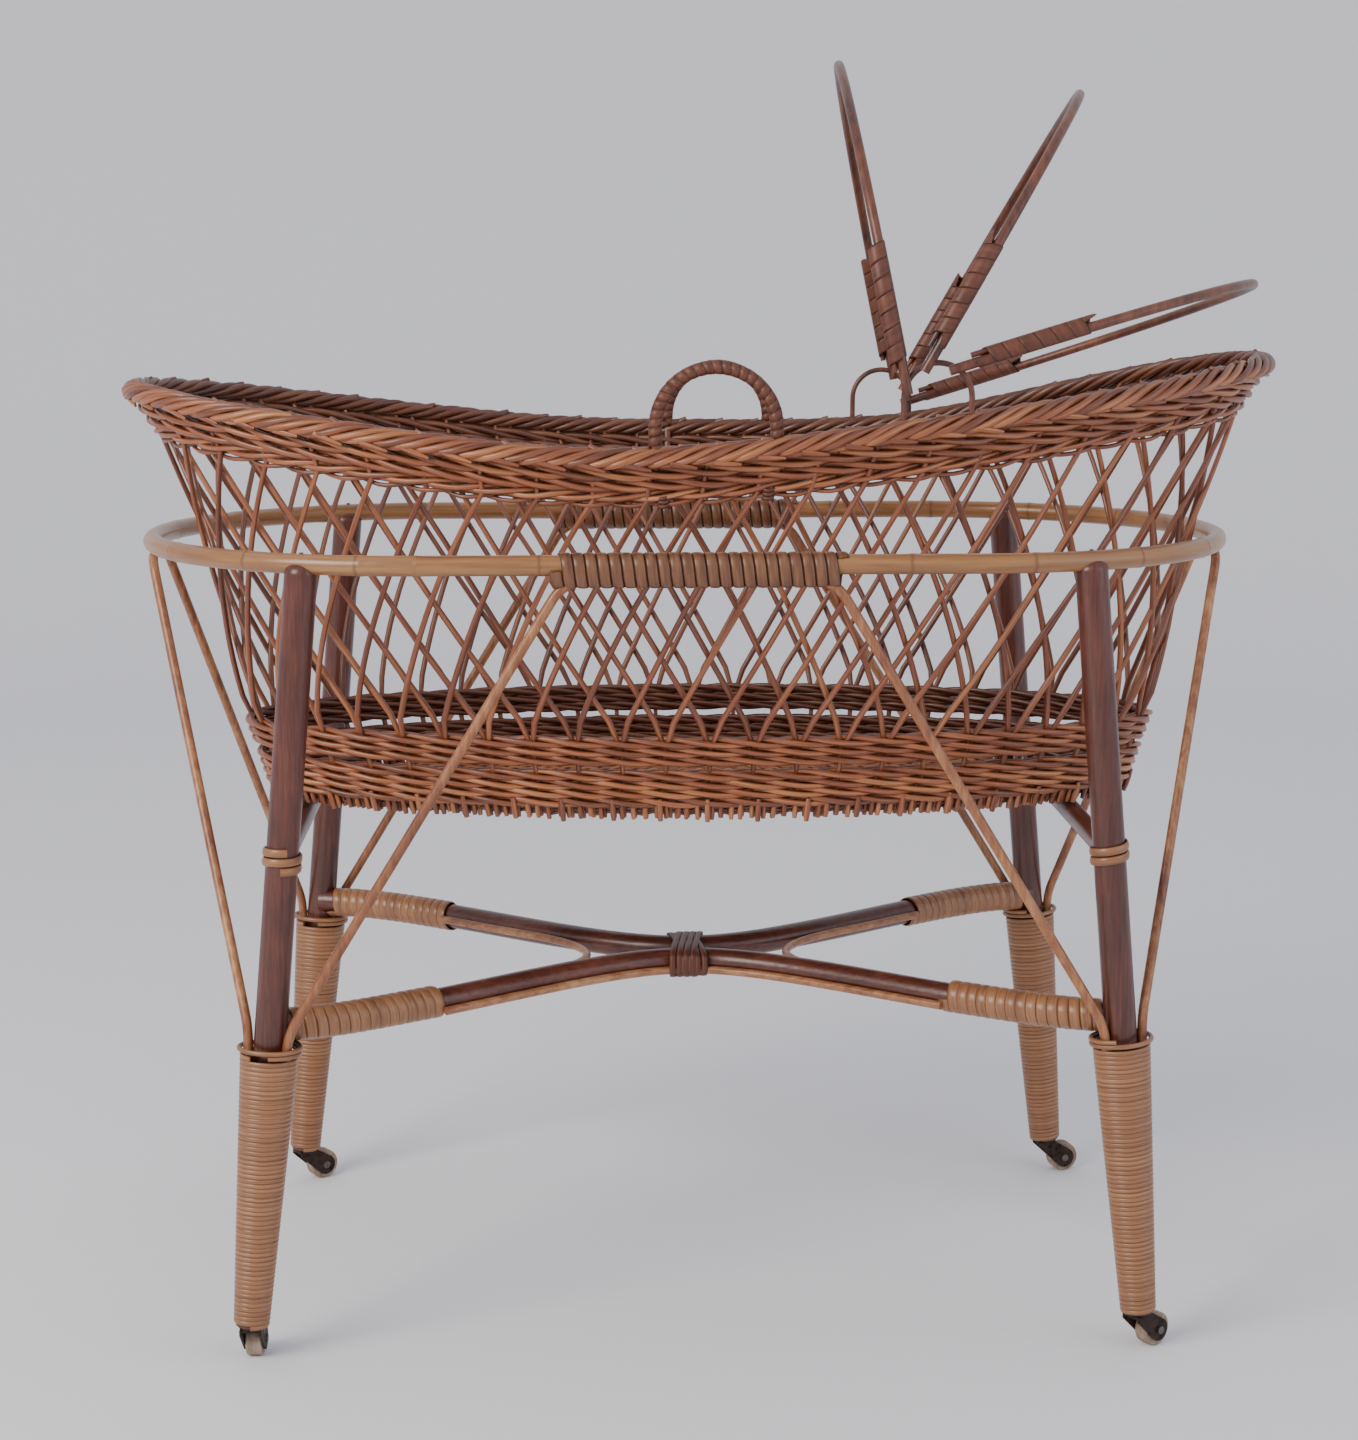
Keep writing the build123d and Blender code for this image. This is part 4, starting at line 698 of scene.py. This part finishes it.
# %% Base edge and floor
def nub_lines(count, top, bottom, inset, girth):
    """Upright ends round the bottom edge."""
    angle = even_angles(count, BASE_LONG, BASE_WIDE, 0.5) + chance.normal(0, 0.003, count)
    lines = []
    for a in angle:
        low = bottom + abs(chance.normal(0, 1.1))
        heights = np.linspace(top, low, 4)
        points = np.array([wall_points(np.array([a]), h, inset)[0] for h in heights])
        points[:, 2] = heights
        out, _ = oval_frame(np.array([a]), BASE_LONG, BASE_WIDE, 0.2)
        lines.append(strand(points + chance.normal(0, 0.3, 3), out=out[0], girth=np.array(girth)))
    return lines


nubs = nub_lines(190, 446.0, 430.8, 6.0, (0.8, 1.0, 1.05, 0.8)) + nub_lines(190, 444.0, 430.8, 11.0,
                                                                            (0.8, 1.0, 1.0, 0.8))
nubs += nub_lines(42, 449.0, 429.4, 2.4, (0.8, 1.15, 1.2, 0.9))
grow("base_edge_nubs", rod_tree, nubs, border_willow, "basket", ["base_border"], "border_willow",
     Thickness=4.4 * MM, Width=4.8 * MM, Sides=6)
FLOOR_ROWS, ROW_STEP, FLOOR_EDGE, FLOOR_Z, ROW_POINTS, ROW_WAVES = 21, 6.1, 13.0, 436.6, 176, 44
floor_rows = []
for k in range(FLOOR_ROWS):
    inset = FLOOR_EDGE + ROW_STEP * k
    long, wide = BASE_LONG - inset, max(BASE_WIDE - inset, 3.0)
    angle = even_angles(ROW_POINTS, long, wide)
    round_points = np.stack([long * np.cos(angle), wide * np.sin(angle), np.full(ROW_POINTS, FLOOR_Z)], -1)
    turn = ROW_WAVES * np.arange(ROW_POINTS) / ROW_POINTS + k / 2
    floor_rows.append(strand(round_points, True, out=(0, 0, 1), turn=turn))
grow("floor_weave", weave_tree, floor_rows, buff_willow, "basket", ["base_mat"], "weave_willow",
     Thickness=4.0 * MM, Width=6.0 * MM, Swing=2.0 * MM, Lift=0.0, Sides=6, Unevenness=1.0 * MM)
sticks = [strand([(-reach, y, 435.5), (0, y, 435.5), (reach, y, 435.5)], out=(0, 0, 1))
          for y in np.linspace(-96, 96, 7) for reach in [360.0 * math.sqrt(1 - (y / 130.0) ** 2) - 8]]
grow("floor_sticks", rod_tree, sticks, lattice_willow, "basket", ["base_sticks"], "stake_willow",
     Thickness=6.0 * MM, Width=6.0 * MM, Sides=8)

# %% [markdown]
# ## Handles, ring and wound cane
# Each handle is a bent core wound tightly with split cane. The winding tree needs only the
# core's line and radius. The ring's rattan is also grown from its line, because its skin has a
# ridge at each joint of the stem, about every ten centimetres.

# %% Handles
HANDLE_REACH, BORDER_MIDDLE = 47.0, (8.0, 11.0)
HANDLE_X, HANDLE_RISE = {"front": 0.0, "back": 25.0}, {"front": 57.9, "back": 50.0}
knots = []
for name, side in (("front", -1), ("back", 1)):
    across = float(rim_points(np.array([side * np.pi / 2]), *BORDER_MIDDLE)[0][1])
    top = float(rim_top(HANDLE_X[name], across)) + HANDLE_RISE[name]
    t = np.linspace(0, np.pi, 25)
    arch = np.stack([HANDLE_X[name] + HANDLE_REACH * np.cos(t), np.full(25, across),
                     top - HANDLE_REACH + HANDLE_REACH * np.sin(t)], -1)
    ends = [(x, across, float(rim_top(x, across)) - 3.0) for x in (arch[0, 0], arch[-1, 0])]
    line = np.vstack([ends[0], arch, ends[1]])
    grow(f"handle_winding_{name}", winding_tree,
         [strand(line, core=5.0 * MM, out=(0, side, 0), tone=0.5)], dark_cane,
         "basket", [f"handle_wrap_{name}"], "wound_cane", Thickness=1.0 * MM, Width=8.6 * MM, Sides=6,
         Pitch=7.0 * MM,
         Steps=14.0)
    # Under the band each foot is caught in a small knot of the same cane.
    for x in (arch[0, 0], arch[-1, 0]):
        angle = np.array([side * math.acos(x / RIM_LONG)])
        knots.append(strand([rim_points(angle, drop, 5.0)[0] for drop in (38.0, 43.0, 48.0)],
                            core=4.6 * MM, tone=0.4))
grow("handle_knots", winding_tree, knots, dark_cane, "basket", [], "wound_cane", Thickness=2.0 * MM,
     Width=3.6 * MM,
     Sides=6, Pitch=3.6 * MM, Steps=16.0)

# %% Ring
STAND_X, RING_Z, RING_LONG, RING_WIDE = -13.0, 653.0, 453.05, 234.81


def ring_points(step=7.0):
    """The stadium line of the ring, and each point's outward direction."""
    straight = RING_LONG - RING_WIDE
    side_n, arc_n = int(2 * straight / step), int(np.pi * RING_WIDE / step)
    a = np.linspace(-np.pi / 2, np.pi / 2, arc_n, endpoint=False)
    x = np.linspace(-straight, straight, side_n, endpoint=False)
    head = np.stack([straight + RING_WIDE * np.cos(a), RING_WIDE * np.sin(a)], -1)
    back = np.stack([-x, np.full(side_n, RING_WIDE)], -1)
    near = np.stack([x, np.full(side_n, -RING_WIDE)], -1)
    flat = np.vstack([near, head, back, -head])
    out = np.vstack([np.tile([0, -1], (side_n, 1)), np.stack([np.cos(a), np.sin(a)], -1),
                     np.tile([0, 1], (side_n, 1)), -np.stack([np.cos(a), np.sin(a)], -1)])
    points = np.column_stack([flat[:, 0] + STAND_X, flat[:, 1], np.full(len(flat), RING_Z)])
    return points, np.column_stack([out, np.zeros(len(flat))])


points, outs = ring_points(3.0)
walked = np.concatenate([[0], np.cumsum(np.linalg.norm(np.diff(points, axis=0), axis=1))])
JOINT_STEP, RIDGE_HALF = 96.0, 3.5
from_joint = np.abs((walked + JOINT_STEP / 2) % JOINT_STEP - JOINT_STEP / 2)
ridge = 1.0 + 0.05 * np.exp(-(from_joint / RIDGE_HALF) ** 2) + 0.008 * np.sin(walked / 71.0)
grow("ring_pole", rod_tree, [strand(points, True, out=outs, girth=ridge)], honey_rattan, "stand",
     ["support_ring"], "ring_rattan", Thickness=16.0 * MM, Width=16.0 * MM, Sides=20)
print("ring is", round(walked[-1]), "mm round")

# %% [markdown]
# Round cane binds the ring to the brace under it, in turns almost a centimetre apart, and the two rods make
# the winding taller than it is wide. The legs are wound with thin cane from the iron to the knuckle,
# where the braces' ends spread the winding into an oval.

# %% Ring bindings, legs, knuckles and collars
BOUND_HALF, BOUND_Z = 111.0, 649.0
for_ring = [strand([(STAND_X + end * BOUND_HALF, side * RING_WIDE, BOUND_Z) for end in (-1, 0, 1)],
                   core=9.1 * MM, wide=(0, 0, 3.9 * MM), tone=0.5) for side in (-1, 1)]
grow("ring_winding", winding_tree, for_ring, shade_darkened_ring_cane, "stand", ["ring_bindings"], "wound_cane",
     Thickness=2.4 * MM, Width=9.2 * MM, Sides=8, Pitch=9.3 * MM, Steps=24.0)

LEG_FOOT, LEG_TOP_X, LEG_FLOOR_X, LEG_FLOOR_Y = 33.2, 308.0, 363.0, 219.0
past = max(LEG_TOP_X - (RING_LONG - RING_WIDE), 0.0)
LEG_TOP_Y = math.sqrt(RING_WIDE ** 2 - past ** 2)


def leg_axis(side_x, side_y, height):
    """Point on a leg's axis."""
    share = (height - LEG_FOOT) / (RING_Z - LEG_FOOT)
    return np.array([STAND_X + side_x * (LEG_FLOOR_X + share * (LEG_TOP_X - LEG_FLOOR_X)),
                     side_y * (LEG_FLOOR_Y + share * (LEG_TOP_Y - LEG_FLOOR_Y)), height])


def leg_winding(bottom, top, core, wide, steps=12):
    """Core lines up all four legs between two heights; core and wide run from bottom to top."""
    lines = []
    for side_x in (-1, 1):
        for side_y in (-1, 1):
            heights = np.linspace(bottom, top, steps)
            share = np.linspace(0, 1, steps)[:, None]
            widths = (wide[0] + share * (wide[1] - wide[0])) * MM * np.array([[1.0, 0, 0]])
            cores = (core[0] + share[:, 0] * (core[1] - core[0])) * MM
            lines.append(strand([leg_axis(side_x, side_y, h) for h in heights], core=cores, wide=widths,
                                tone=0.5))
    return lines


grow("leg_winding", winding_tree, leg_winding(34.6, 259.5, (14.0, 19.0), (0.0, 3.9)), leg_cane, "stand",
     ["leg_wraps"],
     "wound_cane", Thickness=1.6 * MM, Width=4.5 * MM, Sides=6, Pitch=3.9 * MM, Steps=20.0)
grow("knuckle_winding", winding_tree, leg_winding(261.8, 267.6, (20.4, 20.6), (4.0, 4.0), 3), split_cane,
     "stand",
     ["knuckle_ties"], "wound_cane", Thickness=3.8 * MM, Width=4.2 * MM, Sides=8, Pitch=4.0 * MM,
     Steps=30.0)
grow("collar_winding", winding_tree, leg_winding(411.5, 427.0, (14.6, 14.6), (0.0, 0.0), 3), split_cane,
     "stand",
     ["cradle_ties"], "wound_cane", Thickness=2.9 * MM, Width=7.2 * MM, Sides=8, Pitch=7.6 * MM, Steps=30.0)

# %% [markdown]
# The stretcher bars bow toward each other. Their sleeves are broad flat cane, and the place where they meet
# is lashed with crossing turns. A cubic through the bar's own vertices gives the sleeve's core.

# %% Stretcher sleeves and lashing
STRETCHER_Z, SLEEVE_START = 281.5, 213.0
sleeve_end = abs(leg_axis(1, 1, STRETCHER_Z)[0] - STAND_X) - 12.0
sleeves = []
for name in ("stretcher_front", "stretcher_back"):
    places = np.array([vertex.co for vertex in frame["nodes"][name].data.vertices]) / MM
    for end in (-1, 1):
        reach = (places[:, 0] - STAND_X) * end
        fit = np.polyfit(reach[reach > 190.0], places[reach > 190.0, 1], 3)
        along = np.linspace(SLEEVE_START, sleeve_end, 40)
        line = np.column_stack([STAND_X + end * along, np.polyval(fit, along), np.full(40, STRETCHER_Z)])
        sleeves.append(strand(line, core=12.8 * MM, tone=0.5))
grow("stretcher_winding", winding_tree, sleeves, leg_cane, "stand", ["stretcher_sleeves"], "wound_cane",
     Thickness=1.8 * MM, Width=9.6 * MM, Sides=8, Pitch=8.6 * MM, Steps=24.0)
LASHING_HALF, LASHING_TALL = 40.6, 12.8
lashing = []
for lean in (-1, 1):
    for shift in (-9.0, -3.0, 3.0, 9.0):
        a = np.linspace(0, 2 * np.pi, 48, endpoint=False)
        # A squarish oval passes over both round bars without cutting into them.
        y, z = (np.sign(v) * np.sqrt(np.abs(v)) for v in (np.cos(a), np.sin(a)))
        loop = np.stack([STAND_X + shift + lean * 5.0 * y, LASHING_HALF * y,
                         STRETCHER_Z + (LASHING_TALL + 0.5 * lean) * z], -1)
        facing = unit(np.stack([0 * a, y ** 3 / LASHING_HALF, z ** 3 / LASHING_TALL], -1))
        lashing.append(strand(loop, True, out=facing, tone=0.4))
grow("stretcher_lashing_cane", rod_tree, lashing, dark_cane, "stand", ["stretcher_lashing"], "wound_cane",
     Thickness=1.5 * MM, Width=5.8 * MM, Sides=6)

# %% [markdown]
# ## The hood hoops
# Each leg of a hoop is two rods side by side, bound with split cane so broad that the turns
# look like the joints of a bamboo. The pivot line comes from the frame's joints, and the leg's line is
# worked out from it, so the binding turns with its hoop.

# %% Hoop bindings
HOOPS = {"high": (101.8, 265.4), "mid": (60.2, 267.9), "low": (17.0, 281.8)}
HOOP_HALF = {"high": 217.00, "mid": 217.42, "low": 217.39}
BOUND_START, BOUND_END, LEG_OFFSET = 20.0, 108.0, 6.8
for hoop, (elevation, length) in HOOPS.items():
    joint = next(j for j in frame["joints"] if j["name"] == f"hoop_{hoop}_turn")
    middle, pivot = np.array(joint["pos_m"]) / MM, unit(np.array(joint["axis"], float))
    toward = np.array([math.cos(math.radians(elevation)), 0, math.sin(math.radians(elevation))])
    up = unit(toward - pivot * (toward @ pivot))
    facing = np.cross(pivot, up)
    half_width = HOOP_HALF[hoop] + LEG_OFFSET
    straight = length - half_width
    legs = []
    for side in (-1, 1):
        t = np.linspace(BOUND_START, BOUND_END, 23)
        past = np.clip(t - straight, 0, None) / half_width
        u = side * half_width * np.cos(past)
        v = np.where(t <= straight, t, straight + half_width * np.sin(past))
        line = middle + np.outer(u - side * 1.6, pivot) + np.outer(v, up) - 2.35 * facing
        legs.append(strand(line, core=6.1 * MM, wide=facing * 0.7 * MM, tone=0.5))
    grow(f"hoop_{hoop}_winding", winding_tree, legs, dark_cane, f"hoop_{hoop}", [f"hoop_{hoop}_bindings"],
         "wound_cane",
         Thickness=1.1 * MM, Width=13.6 * MM, Sides=8, Pitch=12.8 * MM, Steps=24.0)

# %% [markdown]
# ## Floor, light and camera
# A plain pale floor that curves up into a wall all round, and soft light from the front left, show
# the gloss of the varnish and keep the shadows open. The camera stands low and a little to the foot
# side, about two metres away.

# %% Studio
FLAT_RADIUS, COVE_RADIUS, WALL_TOP, SPOKES = 3.2, 1.3, 2.2, 96
cove = [(FLAT_RADIUS + COVE_RADIUS * math.sin(a), COVE_RADIUS - COVE_RADIUS * math.cos(a))
        for a in np.linspace(0.1, math.pi / 2, 14)]
profile = [(0.01, 0.0), (FLAT_RADIUS, 0.0)] + cove + [(FLAT_RADIUS + COVE_RADIUS, WALL_TOP)]
floor_points = [(radius * math.cos(a), radius * math.sin(a), height) for radius, height in profile
                for a in np.linspace(0, 2 * math.pi, SPOKES, endpoint=False)]
floor_faces = [((i + 1) * SPOKES + k, (i + 1) * SPOKES + (k + 1) % SPOKES, i * SPOKES + (k + 1) % SPOKES,
                i * SPOKES + k)
               for i in range(len(profile) - 1) for k in range(SPOKES)]
floor_mesh = bpy.data.meshes.new("studio_floor")
floor_mesh.from_pydata(floor_points, [], floor_faces + [tuple(range(SPOKES))])
floor_mesh.polygons.foreach_set("use_smooth", [True] * len(floor_mesh.polygons))
floor = bpy.data.objects.new("studio_floor", floor_mesh)
bpy.context.scene.collection.objects.link(floor)
paper = bpy.data.materials.new("pale_floor_paper")
paper.use_nodes = True
paper.node_tree.nodes["Principled BSDF"].inputs["Base Color"].default_value = linear("#E9E9EC")
paper.node_tree.nodes["Principled BSDF"].inputs["Roughness"].default_value = 0.85
floor_mesh.materials.append(paper)
world = bpy.data.worlds.new("studio")
world.use_nodes = True
world.node_tree.nodes["Background"].inputs["Color"].default_value = linear("#DADCE4")
world.node_tree.nodes["Background"].inputs["Strength"].default_value = 1.1
bpy.context.scene.world = world


def soft_box(name, place, target, size, power, colour):
    """Square soft light that faces a point."""
    light = bpy.data.lights.new(name, "AREA")
    light.size = size
    light.energy = power
    light.color = linear(colour)[:3]
    lamp = bpy.data.objects.new(name, light)
    lamp.location = place
    lamp.rotation_euler = (Vector(target) - Vector(place)).to_track_quat("-Z", "Y").to_euler()
    bpy.context.scene.collection.objects.link(lamp)


soft_box("window_light", (-2.2, -2.0, 2.2), (0, 0, 0.6), 1.6, 88.0, "#FFF6EA")
soft_box("fill_light", (2.4, -1.6, 1.4), (0, 0, 0.6), 2.0, 16.0, "#EAF0FF")
lens = bpy.data.cameras.new("camera")
lens.lens = 66.09
lens.sensor_width = 36.0
lens.sensor_fit = "AUTO"
camera = bpy.data.objects.new("camera", lens)
camera.location = (-0.10945, -2.2660, 0.8805)
camera.rotation_euler = Vector((0.0390, 0.9848, -0.1692)).to_track_quat("-Z", "Y").to_euler()
bpy.context.scene.collection.objects.link(camera)
bpy.context.scene.camera = camera

# %% [markdown]
# Last, the view layer is brought up to date.

# %% The end
bpy.context.view_layer.update()
